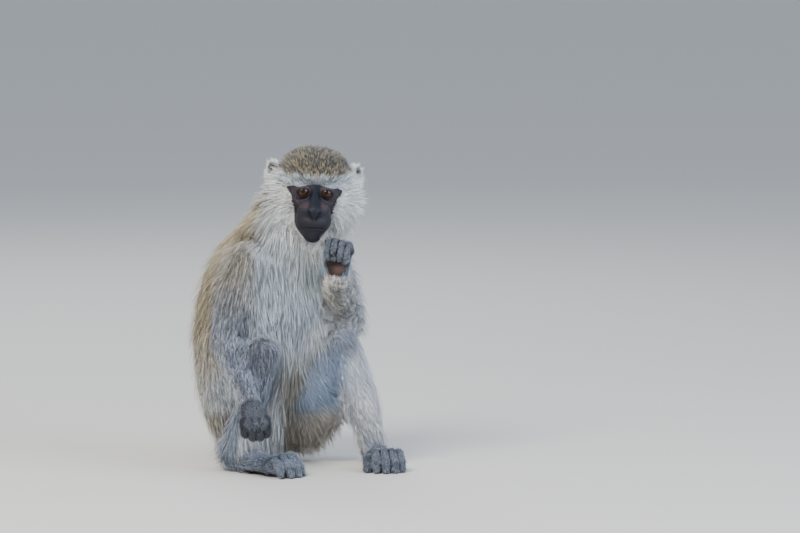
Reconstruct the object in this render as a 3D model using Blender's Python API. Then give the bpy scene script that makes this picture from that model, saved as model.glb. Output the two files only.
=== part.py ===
"""A vervet monkey sitting on the ground, life size, as a still museum model.

The solids give the outline out to the tips of the coat. The body is modelled whole, as ellipsoids and
tapered chains fused by a voxel remesh, then parted into named nodes by closed sleeves that leave a thin gap.

Frame: +Z up, the ground at z = 0, the origin in the middle of the seat. The face looks along -Y and +X is on
the right of one who faces it. The trunk faces between the two, along FORWARD. Tables are in millimetres, from
a point on the ground under the chest, and SEAT is where the origin lies in them.
"""

import math

import bmesh
import bpy
import numpy as np
from mathutils import Matrix, Vector

MM = 0.001

# Driving dimensions, in millimetres.
GAP = 0.3                     # left between nodes that touch
FLOOR = 0.0                   # level of the ground and of every flat that rests on it
TRUNK_TURN = 40.0             # degrees that the trunk is turned from -Y towards +X
VOXEL = 2.2                   # grain of the remesh that fuses the body
BODY_TRIANGLES = 4700         # of the whole body, before it is parted

PELVIS = (-60.0, 30.0)        # ground plan centre of the trunk's stations
SEAT = (-57.0, 29.0, 0.0)     # middle of the flat it sits on
HEAD_CENTRE = (19.0, -16.0, 317.0)
HEAD_YAW = 3.0                # degrees, muzzle turned to its left
HEAD_ROLL = 4.0               # degrees, its left side lower
HEAD_PITCH = 9.0              # degrees, muzzle lowered
EYE_RADIUS = 8.6
EYE_SPACING = 26.4
EAR_HEIGHT = 30.0
EAR_THICKNESS = 3.6

# The coat's outer surface over the trunk: height, shift forward, shift left, half depth, half width.
TRUNK_STATIONS = (
    (-8, 4, 0, 24, 26),
    (6, 5, 0, 32, 36),
    (20, 5, 0, 40, 43),
    (42, 4, 0, 49, 49),
    (68, 5, 0, 60, 57),
    (103, 8, 0, 70, 64),
    (148, 12, 4, 79, 71),
    (184, 18, 8, 83, 73),
    (212, 20, 11, 79, 69),
    (230, 25, 11, 77, 60),
    (250, 35, 13, 69, 52),
    (268, 47, 16, 60, 47),
    (284, 58, 18, 51, 42),
    (300, 67, 20, 40, 36),
)

# Limb chains: x, y, z, half width across, half depth. The across direction of each is given beside it.
THIGH_LEFT = ((-36, 46, 58, 34, 42), (4, 26, 82, 28, 39), (27, 12, 108, 24, 34), (47, 1, 136, 23, 23))
SHIN_LEFT = ((49, 0, 137, 25, 24), (62, -3, 104, 24, 24), (74, -5, 64, 23, 23), (85, -6, 26, 17, 17))
THIGH_RIGHT = ((-80, 14, 60, 32, 42), (-64, -16, 84, 27, 38), (-51, -42, 112, 23, 32), (-37, -68, 141, 20, 20))
SHIN_RIGHT = ((-36, -69, 141, 21, 21), (-45, -68, 104, 19, 22), (-56, -64, 62, 17, 19), (-66, -60, 26, 15, 16))
UPPER_ARM_RIGHT = ((-50, -34, 240, 25, 27), (-64, -42, 210, 23, 24), (-74, -45, 178, 20, 20), (-80, -46, 151, 19, 19))
FOREARM_RIGHT = ((-80, -46, 150, 19, 20), (-71, -63, 126, 17, 17), (-60, -86, 101, 15, 14), (-51, -103, 81, 13, 12))
UPPER_ARM_LEFT = ((26, 32, 250, 27, 30), (39, 36, 214, 24, 25), (50, 38, 182, 22, 22), (56, 38, 160, 19, 20))
FOREARM_LEFT = ((56, 36, 160, 18, 19), (53, 8, 178, 18, 18), (49, -26, 200, 15, 15), (45, -54, 219, 12, 11))
TAIL = (
    (-80, 58, 20, 17), (-76, 92, 15, 15), (-68, 150, 12, 13), (-64, 215, 11, 12), (-64, 280, 11, 12),
    (-54, 325, 10, 11.5), (-29, 344, 10, 11.5), (-8, 324, 10, 11.5), (-6, 272, 10, 11.5), (-16, 210, 10, 11),
    (-22, 165, 9, 9),
)

# Where the surface keeps its detail when it is thinned: centre and radius, and how strongly.
DETAIL_KEPT = 0.85
DETAIL = (
    ((20, -54, 298), 40),
    ((48, -70, 246), 24),
    ((-44, -128, 62), 24),
    ((-6, -104, 16), 28),
    ((100, -62, 16), 30),
)

# The digits: lengths of the three bones of the longest, and each one's share of them from the thumb's side.
FINGER_BONES = (17.0, 12.0, 9.0)
TOE_BONES = (18.0, 15.0, 11.0)
DIGIT_SHARES = (0.92, 1.0, 0.98, 0.85)
FINGER_PITCH = 7.0            # between neighbouring fingers at the knuckles
PALM = 35.0                   # from the wrist to the knuckles
TOE_PITCH = 7.6


def unit(vector):
    """The vector at length 1."""
    vector = np.asarray(vector, float)
    return vector / np.linalg.norm(vector)


def turned(vector, axis, degrees):
    """The vector turned about an axis."""
    return np.array(Matrix.Rotation(math.radians(degrees), 3, Vector(axis)) @ Vector(vector))


FORWARD = np.array([math.sin(math.radians(TRUNK_TURN)), -math.cos(math.radians(TRUNK_TURN)), 0.0])
LEFT = np.array([-FORWARD[1], FORWARD[0], 0.0])
UP = np.array([0.0, 0.0, 1.0])
HEAD_TURN = (
    Matrix.Rotation(math.radians(HEAD_YAW), 3, "Z")
    @ Matrix.Rotation(math.radians(HEAD_ROLL), 3, "Y")
    @ Matrix.Rotation(math.radians(HEAD_PITCH), 3, "X")
)


def smooth_rows(rows, steps):
    """Rows of a table with steps - 1 rows put between each pair, on a Catmull-Rom curve."""
    rows = np.asarray(rows, float)
    padded = np.vstack([2 * rows[0] - rows[1], rows, 2 * rows[-1] - rows[-2]])
    fine = []
    for i in range(len(rows) - 1):
        a, b, c, d = padded[i:i + 4]
        for t in np.arange(steps) / steps:
            fine.append(
                0.5 * (2 * b + (c - a) * t + (2 * a - 5 * b + 4 * c - d) * t**2 + (3 * b - a - 3 * c + d) * t**3)
            )
    return np.array(fine + [rows[-1]])


# Shapes, added to one mesh of overlapping closed lumps.

def lump_points(centre, axes, radii, rings=11, turn=22):
    """Points on an ellipsoid whose radii lie along three axes."""
    tilt = np.linspace(0, math.pi, rings)
    spin = np.arange(turn) * 2 * math.pi / turn
    grid = np.stack(
        [np.outer(np.sin(tilt), np.cos(spin)), np.outer(np.sin(tilt), np.sin(spin)), np.outer(np.cos(tilt), spin * 0 + 1)],
        axis=-1,
    ).reshape(-1, 3)
    return np.asarray(centre, float) + (grid * np.asarray(radii, float)) @ np.asarray(axes, float)


def add_hull(mesh, points):
    """Adds the convex hull of the points to the mesh as a closed lump."""
    made = [mesh.verts.new(Vector(p) * MM) for p in points]
    result = bmesh.ops.convex_hull(mesh, input=made, use_existing_faces=False)
    inside = [v for v in result["geom_interior"] if isinstance(v, bmesh.types.BMVert)]
    unused = [v for v in result["geom_unused"] if isinstance(v, bmesh.types.BMVert)]
    bmesh.ops.delete(mesh, geom=list(set(inside + unused)), context="VERTS")


def add_ellipsoid(mesh, centre, radii, axes=None):
    """Adds an ellipsoid. Its radii lie along the axes, or along X, Y and Z."""
    add_hull(mesh, lump_points(centre, np.eye(3) if axes is None else axes, radii))


def add_chain(mesh, stations, across, steps=3):
    """Adds a tapered limb: the hulls of neighbouring ellipsoids along its stations."""
    rows = smooth_rows(stations, steps)
    previous = None
    for i, row in enumerate(rows):
        after = rows[min(i + 1, len(rows) - 1)][:3]
        before = rows[max(i - 1, 0)][:3]
        along = unit(after - before)
        side = unit(np.asarray(across, float) - along * np.dot(across, along))
        depth = np.cross(along, side)
        thin = min(row[3], row[4])
        points = lump_points(row[:3], (side, depth, along), (row[3], row[4], thin))
        if previous is not None:
            add_hull(mesh, np.vstack([previous, points]))
        previous = points


def add_digit(mesh, root, ahead, axis, bones, bends, radii):
    """Adds a finger or toe: each bone turns by its own bend about the axis."""
    stations = [(*root, radii[0], radii[0])]
    point = np.asarray(root, float)
    direction = unit(ahead)
    for bone, bend, radius in zip(bones, bends, radii[1:]):
        direction = turned(direction, axis, bend)
        point = point + direction * bone
        stations.append((*point, radius, radius))
    add_chain(mesh, stations, axis, steps=2)


def add_trunk(mesh):
    """Adds the trunk as a stack of ellipses that follows its stations from the seat to the nape."""
    rows = smooth_rows(TRUNK_STATIONS, 4)
    sides = 40
    spin = np.arange(sides) * 2 * math.pi / sides
    rings = []
    for height, forward, left, depth, width in rows:
        centre = np.array([*PELVIS, height]) + FORWARD * forward + LEFT * left
        ring = centre + np.outer(np.cos(spin) * depth, FORWARD) + np.outer(np.sin(spin) * width, LEFT)
        rings.append([mesh.verts.new(Vector(p) * MM) for p in ring])
    for low, high in zip(rings, rings[1:]):
        for i in range(sides):
            j = (i + 1) % sides
            mesh.faces.new((low[i], low[j], high[j], high[i]))
    mesh.faces.new(rings[0][::-1])
    mesh.faces.new(rings[-1])


def head_point(x, y, z):
    """A point given from the head's centre, in the head's own axes, where -Y is ahead."""
    return np.array(HEAD_TURN @ Vector((x, y, z))) + np.array(HEAD_CENTRE)


def head_axes():
    """The head's own axes, as rows."""
    return np.array([HEAD_TURN @ Vector(row) for row in np.eye(3)])


def add_head(mesh):
    """Adds the cranium, ruff, brow, cheeks, muzzle and chin under their coat, and the neck."""
    axes = head_axes()
    add_ellipsoid(mesh, head_point(0, 10, 3), (49, 48, 44), axes)
    for side in (-1, 1):
        add_ellipsoid(mesh, head_point(side * 28, 6, -15), (33, 34, 34), axes)
        add_ellipsoid(mesh, head_point(side * 22, 0, -30), (27, 32, 25), axes)
        add_ellipsoid(mesh, head_point(side * 14, -24, 17), (19, 15, 11), axes)
        add_ellipsoid(mesh, head_point(side * 15, -24, -3), (18, 13, 16), axes)
        add_ellipsoid(mesh, head_point(side * 10, -40, -28), (11, 20, 15), axes)
    add_ellipsoid(mesh, head_point(0, -52, -27), (17, 15, 15), axes)
    add_ellipsoid(mesh, head_point(0, -44, -40), (15, 17, 13), axes)
    bridge = [(*head_point(0, -31, 7), 6, 6), (*head_point(0, -47, -4), 6.5, 6), (*head_point(0, -60, -14), 8, 7)]
    add_chain(mesh, bridge, axes[0])
    add_chain(mesh, [(*head_point(0, -24, 4), 11, 12), (*head_point(0, -42, -18), 15, 14)], axes[0])
    add_chain(mesh, [(-4, 0, 262, 48, 42), (6, -10, 284, 44, 38), (14, -12, 304, 44, 40)], LEFT)


def add_hand(mesh, wrist, ahead, palm, thumb_side, bends, thumb):
    """Adds a palm and its closed fingers. The fingers bend towards the palm's side of the hand."""
    ahead = unit(ahead)
    palm = unit(np.asarray(palm, float) - ahead * np.dot(palm, ahead))
    across = np.cross(ahead, palm) * thumb_side
    axis = np.cross(ahead, palm)
    wrist = np.asarray(wrist, float)
    heel = wrist + ahead * 6
    knuckles = wrist + ahead * PALM
    add_chain(mesh, [(*wrist, 12, 10), (*heel, 13, 9.5), (*knuckles, 15.5, 7.5)], across)
    for i, share in enumerate(DIGIT_SHARES):
        place = (1.5 - i) * FINGER_PITCH
        root = knuckles + across * place - ahead * abs(place) * 0.16
        spread = unit(ahead + across * place * 0.012)
        bones = [bone * share for bone in FINGER_BONES]
        add_digit(mesh, root, spread, axis, bones, bends, (6.0, 5.4, 5.0, 4.4))
    root = wrist + ahead * 13 + across * 11 + palm * 4
    lean = ahead * thumb[0] + across * thumb[1] + palm * thumb[2]
    add_digit(mesh, root, lean, axis, (14.0, 10.0), (0.0, thumb[3]), (6.4, 5.2, 4.4))


def add_foot(mesh, heel, ahead, inner_side, bends):
    """Adds a foot whose sole is cut flat by the ground, with bent toes and a splayed big toe."""
    ahead = unit(ahead)
    inner = np.cross(UP, ahead) * inner_side
    axis = np.cross(ahead, -UP)
    heel = np.asarray(heel, float)
    ball = heel + ahead * 66
    add_chain(
        mesh,
        [
            (*(heel + UP * 11), 13, 13),
            (*(heel + ahead * 26 + UP * 12), 14, 14),
            (*(ball - ahead * 14 + UP * 13), 16, 12),
            (*(ball + UP * 12), 18, 10),
        ],
        inner,
    )
    for i, share in enumerate(DIGIT_SHARES):
        place = (1.5 - i) * TOE_PITCH
        root = ball + inner * place - ahead * abs(place) * 0.2 + UP * 12.5
        spread = unit(ahead + inner * place * 0.01)
        bones = [bone * share for bone in TOE_BONES]
        add_digit(mesh, root, spread, axis, bones, bends, (7.2, 6.6, 5.8, 5.0))
    root = heel + ahead * 42 + inner * 12 + UP * 10
    add_digit(mesh, root, ahead + inner * 0.3, axis, (18.0, 14.0, 10.0), (-8.0, 18.0, 26.0), (8.0, 7.0, 6.4, 5.6))


def add_tail(mesh):
    """Adds the tail, which leaves the rump and lies on the ground in a hook."""
    rows = smooth_rows(TAIL, 4)
    add_chain(mesh, np.column_stack([rows, rows[:, 3]]), UP, steps=1)


def add_folds(mesh):
    """Adds the coat that fills the left armpit, and the long coat that hangs under the left thigh."""
    add_ellipsoid(mesh, (16, 8, 216), (26, 27, 44))
    add_chain(mesh, [(-30, 40, 46, 34, 38), (6, 28, 52, 28, 38), (32, 16, 74, 20, 36)], LEFT)


def body_lumps():
    """One mesh of all the body's lumps, which overlap."""
    mesh = bmesh.new()
    add_trunk(mesh)
    add_head(mesh)
    for stations in (THIGH_LEFT, SHIN_LEFT, UPPER_ARM_LEFT, THIGH_RIGHT, SHIN_RIGHT, UPPER_ARM_RIGHT):
        add_chain(mesh, stations, LEFT)
    add_chain(mesh, FOREARM_LEFT, (1, 0, 0))
    add_chain(mesh, FOREARM_RIGHT, (1, 0, 0))
    add_hand(mesh, (-50, -105, 80), (0.16, -0.86, -0.44), (0.0, 0.44, -0.86), 1, (62, 96, 50), (0.9, 0.1, 0.5, 30))
    add_hand(mesh, (45, -58, 222), (0.14, -0.12, 0.98), (-0.22, -0.97, -0.1), -1, (70, 96, 48), (0.9, -0.4, 0.8, 34))
    add_foot(mesh, (-72, -48, 0), (0.74, -0.67, 0), 1, (-42, 86, 38))
    add_foot(mesh, (85, 14, 0), (0.22, -0.975, 0), -1, (-42, 86, 38))
    add_folds(mesh)
    add_tail(mesh)
    bmesh.ops.recalc_face_normals(mesh, faces=mesh.faces)
    return mesh


# Solids.

def new_object(name, mesh):
    """An object of this name, made of a bmesh or a mesh."""
    if isinstance(mesh, bmesh.types.BMesh):
        data = bpy.data.meshes.new(name)
        mesh.to_mesh(data)
        mesh.free()
    else:
        data = mesh
    piece = bpy.data.objects.new(name, data)
    bpy.context.scene.collection.objects.link(piece)
    return piece


def apply_modifiers(piece):
    """Puts the piece's evaluated shape in place of its mesh and modifiers."""
    bpy.context.view_layer.update()
    shaped = bpy.data.meshes.new_from_object(piece.evaluated_get(bpy.context.evaluated_depsgraph_get()))
    piece.modifiers.clear()
    old = piece.data
    piece.data = shaped
    bpy.data.meshes.remove(old)


def boolean(piece, cutter, operation):
    """Cuts the piece by the cutter, or keeps what is inside it."""
    change = piece.modifiers.new("cut", "BOOLEAN")
    change.operation = operation
    change.solver = "EXACT"
    change.object = cutter
    apply_modifiers(piece)


def keep_largest(piece):
    """Drops every loose part of the piece but the one with the most volume."""
    mesh = bmesh.new()
    mesh.from_mesh(piece.data)
    left = set(mesh.verts)
    parts = []
    while left:
        reached = {left.pop()}
        front = list(reached)
        while front:
            vertex = front.pop()
            for edge in vertex.link_edges:
                other = edge.other_vert(vertex)
                if other in left:
                    left.remove(other)
                    reached.add(other)
                    front.append(other)
        box = np.array([v.co for v in reached])
        parts.append((float(np.prod(box.max(0) - box.min(0))), reached))
    parts.sort(key=lambda part: part[0])
    for _, loose in parts[:-1]:
        bmesh.ops.delete(mesh, geom=list(loose), context="VERTS")
    mesh.to_mesh(piece.data)
    mesh.free()


def remove_object(piece):
    """Takes an object and its mesh away."""
    data = piece.data
    bpy.data.objects.remove(piece)
    bpy.data.meshes.remove(data)


def box_object(name, low, high):
    """A plain box between two corners."""
    mesh = bmesh.new()
    bmesh.ops.create_cube(mesh, size=1.0)
    low = np.array(low) * MM
    high = np.array(high) * MM
    for vertex in mesh.verts:
        vertex.co = Vector(low + (np.array(vertex.co) + 0.5) * (high - low))
    return new_object(name, mesh)


def whole_body():
    """The fused body, smoothed, thinned and cut flat at the ground."""
    body = new_object("body", body_lumps())
    fuse = body.modifiers.new("fuse", "REMESH")
    fuse.mode = "VOXEL"
    fuse.voxel_size = VOXEL * MM
    soften = body.modifiers.new("soften", "SMOOTH")
    soften.factor = 0.5
    soften.iterations = 3
    apply_modifiers(body)
    plain = body.vertex_groups.new(name="plain")
    places = np.array([vertex.co for vertex in body.data.vertices]) / MM
    detail = np.zeros(len(places))
    for centre, radius in DETAIL:
        away = np.linalg.norm(places - np.array(centre), axis=1)
        detail = np.maximum(detail, np.clip((radius - away) / 6.0, 0.0, 1.0))
    for index, weight in enumerate(1.0 - DETAIL_KEPT * detail):
        plain.add([index], weight, "REPLACE")
    thin = body.modifiers.new("thin", "DECIMATE")
    thin.vertex_group = plain.name
    thin.vertex_group_factor = 1.0
    thin.ratio = BODY_TRIANGLES / sum(len(face.vertices) - 2 for face in body.data.polygons)
    apply_modifiers(body)
    keep_largest(body)
    ground = box_object("ground", (-400, -400, -60), (400, 700, FLOOR))
    boolean(body, ground, "DIFFERENCE")
    remove_object(ground)
    return body


def chain_discs(stations, across):
    """Discs square to a chain at its stations: centre, normal, across, half width, half depth."""
    rows = np.asarray(stations, float)
    discs = []
    for i, row in enumerate(rows):
        along = unit(rows[min(i + 1, len(rows) - 1)][:3] - rows[max(i - 1, 0)][:3])
        discs.append((row[:3], along, across, row[3], row[4]))
    return discs


def sleeve(discs, grow):
    """A closed tube through the discs, grown all round and at both ends."""
    sides = 12
    spin = np.arange(sides) * 2 * math.pi / sides
    mesh = bmesh.new()
    rings = []
    for i, (centre, normal, across, width, height) in enumerate(discs):
        normal = unit(normal)
        side = unit(np.asarray(across, float) - normal * np.dot(across, normal))
        depth = np.cross(normal, side)
        end = {0: -1, len(discs) - 1: 1}.get(i, 0)
        middle = np.asarray(centre, float) + normal * grow * end
        ring = middle + np.outer(np.cos(spin) * (width + grow), side) + np.outer(np.sin(spin) * (height + grow), depth)
        rings.append([mesh.verts.new(Vector(p) * MM) for p in ring])
    for low, high in zip(rings, rings[1:]):
        for i in range(sides):
            j = (i + 1) % sides
            mesh.faces.new((low[i], low[j], high[j]))
            mesh.faces.new((low[i], high[j], high[i]))
    mesh.faces.new(rings[0][::-1])
    mesh.faces.new(rings[-1])
    bmesh.ops.recalc_face_normals(mesh, faces=mesh.faces)
    return new_object("sleeve", mesh)


def part_off(body, name, discs):
    """Takes what lies in the sleeve off the body, as a node of its own, and leaves the gap."""
    piece = new_object(name, body.data.copy())
    inner = sleeve(discs, 0.0)
    boolean(piece, inner, "INTERSECT")
    remove_object(inner)
    outer = sleeve(discs, GAP)
    boolean(body, outer, "DIFFERENCE")
    remove_object(outer)
    keep_largest(piece)
    keep_largest(body)
    return piece


def around(stations, across, extra, first=0.0, last=0.0):
    """The discs of a sleeve round a limb, wider than it by extra, with its ends moved out."""
    rows = np.array(stations, float)
    rows[:, 3:] += extra
    rows[0, :3] -= unit(rows[1, :3] - rows[0, :3]) * first
    rows[-1, :3] += unit(rows[-1, :3] - rows[-2, :3]) * last
    return chain_discs(rows, across)


def parted_nodes(body):
    """Parts the body, from the ends of the limbs inwards. What is left is the trunk."""
    east = (1, 0, 0)
    fist_right = ((-51, -103, 84, 20, 18), (-46, -128, 62, 26, 24), (-43, -140, 36, 26, 24))
    fist_left = ((45, -57, 221, 17, 17), (49, -68, 240, 22, 24), (51, -78, 265, 22, 30))
    sole_right = ((-104, -18, 8, 26, 24), (-62, -57, 10, 22, 17), (-18, -97, 14, 32, 28), (22, -134, 14, 32, 28))
    sole_left = ((76, 48, 8, 24, 22), (88, 0, 10, 22, 17), (100, -50, 14, 36, 28), (111, -112, 14, 36, 28))
    tail = smooth_rows(TAIL, 4)
    tail = np.column_stack([tail, tail[:, 3]])
    tail_cuts = {"tail_tip": (27, 41), "tail_middle": (13, 29), "tail_base": (2, 15)}
    yield part_off(body, "hand_right", chain_discs(fist_right, east))
    yield part_off(body, "hand_left", chain_discs(fist_left, east))
    yield part_off(body, "foot_right", chain_discs(sole_right, LEFT))
    yield part_off(body, "foot_left", chain_discs(sole_left, east))
    yield part_off(body, "forearm_right", around(FOREARM_RIGHT, east, 6, 0, 8))
    yield part_off(body, "forearm_left", around(FOREARM_LEFT, east, 6, 0, 8))
    yield part_off(body, "upper_arm_right", around(UPPER_ARM_RIGHT, LEFT, 3, 0, 22))
    yield part_off(body, "upper_arm_left", around(UPPER_ARM_LEFT, LEFT, 3, 0, 22))
    yield part_off(body, "shin_right", around(SHIN_RIGHT, LEFT, 3, 0, 14))
    yield part_off(body, "shin_left", around(SHIN_LEFT, LEFT, 3, 0, 14))
    yield part_off(body, "thigh_right", around(THIGH_RIGHT, LEFT, 3, 0, 26))
    yield part_off(body, "thigh_left", around(THIGH_LEFT, LEFT, 3, 0, 28))
    for name, (start, stop) in tail_cuts.items():
        yield part_off(body, name, around(tail[start:stop], UP, 4, 0, 10 if name == "tail_tip" else 0))
    jaw_line = ((14, -10, 279), (0.0, -0.40, 0.92))
    collar_line = ((4, 0, 261), (0.0, -0.28, 0.96))
    crown = np.array(jaw_line[0]) + np.array(jaw_line[1]) * 150
    yield part_off(body, "head", [(*jaw_line, east, 90, 100), (crown, jaw_line[1], east, 90, 100)])
    yield part_off(body, "neck", [(*collar_line, east, 50, 58), (*jaw_line, east, 76, 66)])


def ball(name, centre, radius):
    """A closed ball."""
    mesh = bmesh.new()
    bmesh.ops.create_uvsphere(mesh, u_segments=14, v_segments=9, radius=radius * MM)
    piece = new_object(name, mesh)
    piece.location = Vector(centre) * MM
    return piece


def ear(name, side, grow):
    """An ear: an upright dish, grown all round by grow."""
    axes = head_axes()
    outward = unit(axes[0] * side * 0.62 - axes[1] * 0.75 + axes[2] * 0.1)
    across = unit(np.cross(axes[2], outward))
    frame = (across, outward, np.cross(across, outward))
    half = EAR_THICKNESS / 2
    mesh = bmesh.new()
    centre = head_point(side * 45, 14, 14)
    points = lump_points(centre, frame, (10 + grow, half + grow, EAR_HEIGHT / 2 + grow), rings=7, turn=12)
    add_hull(mesh, points)
    bmesh.ops.recalc_face_normals(mesh, faces=mesh.faces)
    return new_object(name, mesh)


def cut_out(piece, cutter):
    """Cuts the cutter's shape out of the piece and takes the cutter away."""
    boolean(piece, cutter, "DIFFERENCE")
    remove_object(cutter)
    keep_largest(piece)


def add_eyes_and_ears(head):
    """Adds the eyes and ears as nodes of their own, in hollows of the head that leave the gap."""
    for side, word in ((-1, "right"), (1, "left")):
        place = head_point(side * EYE_SPACING / 2, -31.4, 3.0)
        cut_out(head, ball("hollow", place, EYE_RADIUS + GAP))
        yield ball(f"eye_{word}", place, EYE_RADIUS)
        cut_out(head, ear("hollow", side, GAP))
        yield ear(f"ear_{word}", side, 0.0)


def finish_node(piece, colour, roughness):
    """Gives a node its material and its shading."""
    material = bpy.data.materials.new(piece.name)
    material.use_nodes = True
    shader = material.node_tree.nodes["Principled BSDF"]
    shader.inputs["Base Color"].default_value = (*colour, 1.0)
    shader.inputs["Roughness"].default_value = roughness
    shader.inputs["Metallic"].default_value = 0.0
    piece.data.materials.clear()
    piece.data.materials.append(material)
    piece.data.shade_smooth()
    piece.data.set_sharp_from_angle(angle=math.radians(50))


# Linear colours and roughness of the coat and skin, by the first word of a node's name.
FINISHES = {
    "head": ((0.45, 0.42, 0.36), 0.85),
    "neck": ((0.55, 0.53, 0.48), 0.85),
    "trunk": ((0.40, 0.36, 0.29), 0.85),
    "tail": ((0.22, 0.20, 0.18), 0.85),
    "ear": ((0.03, 0.03, 0.035), 0.60),
    "eye": ((0.12, 0.045, 0.015), 0.05),
    "upper": ((0.33, 0.32, 0.30), 0.85),
    "forearm": ((0.24, 0.24, 0.24), 0.85),
    "hand": ((0.08, 0.08, 0.09), 0.70),
    "thigh": ((0.42, 0.42, 0.42), 0.85),
    "shin": ((0.45, 0.45, 0.44), 0.85),
    "foot": ((0.13, 0.13, 0.14), 0.75),
}


def main():
    for piece in list(bpy.data.objects):
        bpy.data.objects.remove(piece)
    trunk = whole_body()
    nodes = list(parted_nodes(trunk))
    trunk.name = "trunk"
    by_name = {piece.name: piece for piece in nodes}
    nodes += add_eyes_and_ears(by_name["head"])
    for piece in [*nodes, trunk]:
        piece.data.transform(Matrix.Translation(piece.location - Vector(SEAT) * MM))
        piece.location = (0.0, 0.0, 0.0)
        colour, roughness = FINISHES[piece.name.split("_")[0]]
        finish_node(piece, colour, roughness)


if __name__ == "__main__":
    main()
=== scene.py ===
"""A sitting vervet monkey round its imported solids: one skin, glass eyes, nails and a coat of tufts."""

import math
from functools import partial
from types import SimpleNamespace

import bmesh
import bpy
import numpy as np
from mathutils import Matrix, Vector


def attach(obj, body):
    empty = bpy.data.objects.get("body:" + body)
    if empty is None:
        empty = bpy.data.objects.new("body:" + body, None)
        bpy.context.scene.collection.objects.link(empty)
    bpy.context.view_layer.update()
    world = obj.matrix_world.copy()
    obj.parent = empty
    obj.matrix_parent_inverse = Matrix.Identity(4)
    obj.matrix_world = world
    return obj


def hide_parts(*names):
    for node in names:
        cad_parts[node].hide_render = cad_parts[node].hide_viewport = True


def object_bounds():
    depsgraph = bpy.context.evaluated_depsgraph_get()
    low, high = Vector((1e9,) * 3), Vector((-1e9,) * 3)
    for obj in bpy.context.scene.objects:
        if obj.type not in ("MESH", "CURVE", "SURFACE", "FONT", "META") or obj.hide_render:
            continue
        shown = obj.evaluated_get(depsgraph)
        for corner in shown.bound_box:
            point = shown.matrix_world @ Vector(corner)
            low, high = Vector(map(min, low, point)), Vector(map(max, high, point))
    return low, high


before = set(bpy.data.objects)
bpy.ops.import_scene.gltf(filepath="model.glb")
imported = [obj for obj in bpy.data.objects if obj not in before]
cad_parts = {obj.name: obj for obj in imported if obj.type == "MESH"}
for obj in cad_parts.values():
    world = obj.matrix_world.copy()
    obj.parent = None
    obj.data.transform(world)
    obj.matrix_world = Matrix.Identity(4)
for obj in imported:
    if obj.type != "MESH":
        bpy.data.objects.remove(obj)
CAD_BOX = [list(corner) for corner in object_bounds()]

bl_info = {
    "name": "Vervet Monkey",
    "version": (1, 0, 0),
    "blender": (4, 5, 0),
    "location": "View3D > Sidebar > Monkey",
    "description": "Builds the skin, eyes, nails and coat of a sitting vervet monkey",
    "category": "Add Mesh",
}

MM = 0.001
UP = np.array([0.0, 0.0, 1.0])
SIDES = ("left", "right")
ASIDE = (0.31, 0.86, 0.41)    # a direction that no bone has, to turn round one from
PLAN_WIDTH = 0.0010    # the tuft width that the coat's plan is written for
SKIN_LOW, TUFT_LOW, NAIL_LOW = 0.4, 0.35, 0.3    # least height above the floor
SKIN_NAME = "skin"
FLESH = (
    "trunk", "neck", "head", "ear_left", "ear_right",
    "upper_arm_left", "upper_arm_right", "forearm_left", "forearm_right", "hand_left", "hand_right",
    "thigh_left", "thigh_right", "shin_left", "shin_right", "foot_left", "foot_right",
    "tail_base", "tail_middle", "tail_tip",
)


def colour(code):
    """Linear red, green and blue of an sRGB hex code."""
    values = np.array([int(code[i:i + 2], 16) / 255 for i in (1, 3, 5)])
    return np.where(values <= 0.04045, values / 12.92, ((values + 0.055) / 1.055) ** 2.4)


def tone(name, description, code):
    """A colour that a user can change, with its default as an sRGB hex code."""
    return bpy.props.FloatVectorProperty(
        name=name, description=description, default=tuple(colour(code)), size=3, min=0.0, max=1.0,
        subtype="COLOR",
    )


# Sizes and colours that a user would change.

class SkinSettings(bpy.types.PropertyGroup):
    grain: bpy.props.FloatProperty(
        name="Grain", description="Grid of the remesh that makes the flesh one skin",
        default=0.0013, unit="LENGTH",
    )
    face: tone("Face", "Bare skin of the muzzle and chin", "#1f1e24")
    bridge: tone("Bridge", "Bare skin of the nose and between the eyes", "#10141c")
    lids: tone("Lids", "Bare skin round the eyes", "#352c32")
    palm: tone("Palm", "Bare skin of palms and soles", "#2b2320")
    heel: tone("Heel", "Pale spot on the heel of the palm", "#77564a")


class EyeSettings(bpy.types.PropertyGroup):
    radius: bpy.props.FloatProperty(
        name="Eye radius", description="Radius of the eyeball", default=0.0086, unit="LENGTH",
    )
    iris_radius: bpy.props.FloatProperty(
        name="Iris radius", description="Radius of the coloured disc", default=0.0057, unit="LENGTH",
    )
    iris: tone("Iris", "The iris near the pupil", "#43230e")
    iris_rim: tone("Iris rim", "The iris near its edge", "#150804")


class CoatSettings(bpy.types.PropertyGroup):
    fullness: bpy.props.FloatProperty(
        name="Fullness", description="How many tufts there are for each one planned",
        default=1.0, min=0.05, max=1.2,
    )
    thickness: bpy.props.FloatProperty(
        name="Tuft width", description="Width of a tuft of the back at its middle",
        default=PLAN_WIDTH, unit="LENGTH",
    )
    white: tone("White", "Shins and fringes", "#eceeee")
    # Chest: a darker, bluer copy of the white, as painted shade on chest and belly; the brow takes it too.
    chest: tone("Chest", "Chest, belly and brow", "#c2ccd4")
    cream: tone("Cream", "Cheeks and throat", "#e4e6e4")
    grey: tone("Grey", "Outside of the limbs", "#a8b4c6")
    pale_blue: tone("Pale blue", "Inside of the thighs", "#9db0cb")
    pepper: tone("Pepper", "Wrists, hands and feet", "#7b8494")
    olive: tone("Olive", "Crown", "#574f3e")
    tan: tone("Tan", "Back", "#d4c7ac")
    dusk: tone("Dusk", "Rump and groin", "#b09f7e")
    dark: tone("Dark band", "Dark bands and tips of grizzled hair", "#1b1919")
    pale: tone("Pale band", "Pale bands and tips of grizzled hair", "#b6a67c")


class StageSettings(bpy.types.PropertyGroup):
    floor: tone("Floor", "The floor under the animal", "#c6c4bf")
    reach: bpy.props.FloatProperty(
        name="Floor size", description="Side of the square floor", default=60.0, unit="LENGTH",
    )


# Small numpy tools.

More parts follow.
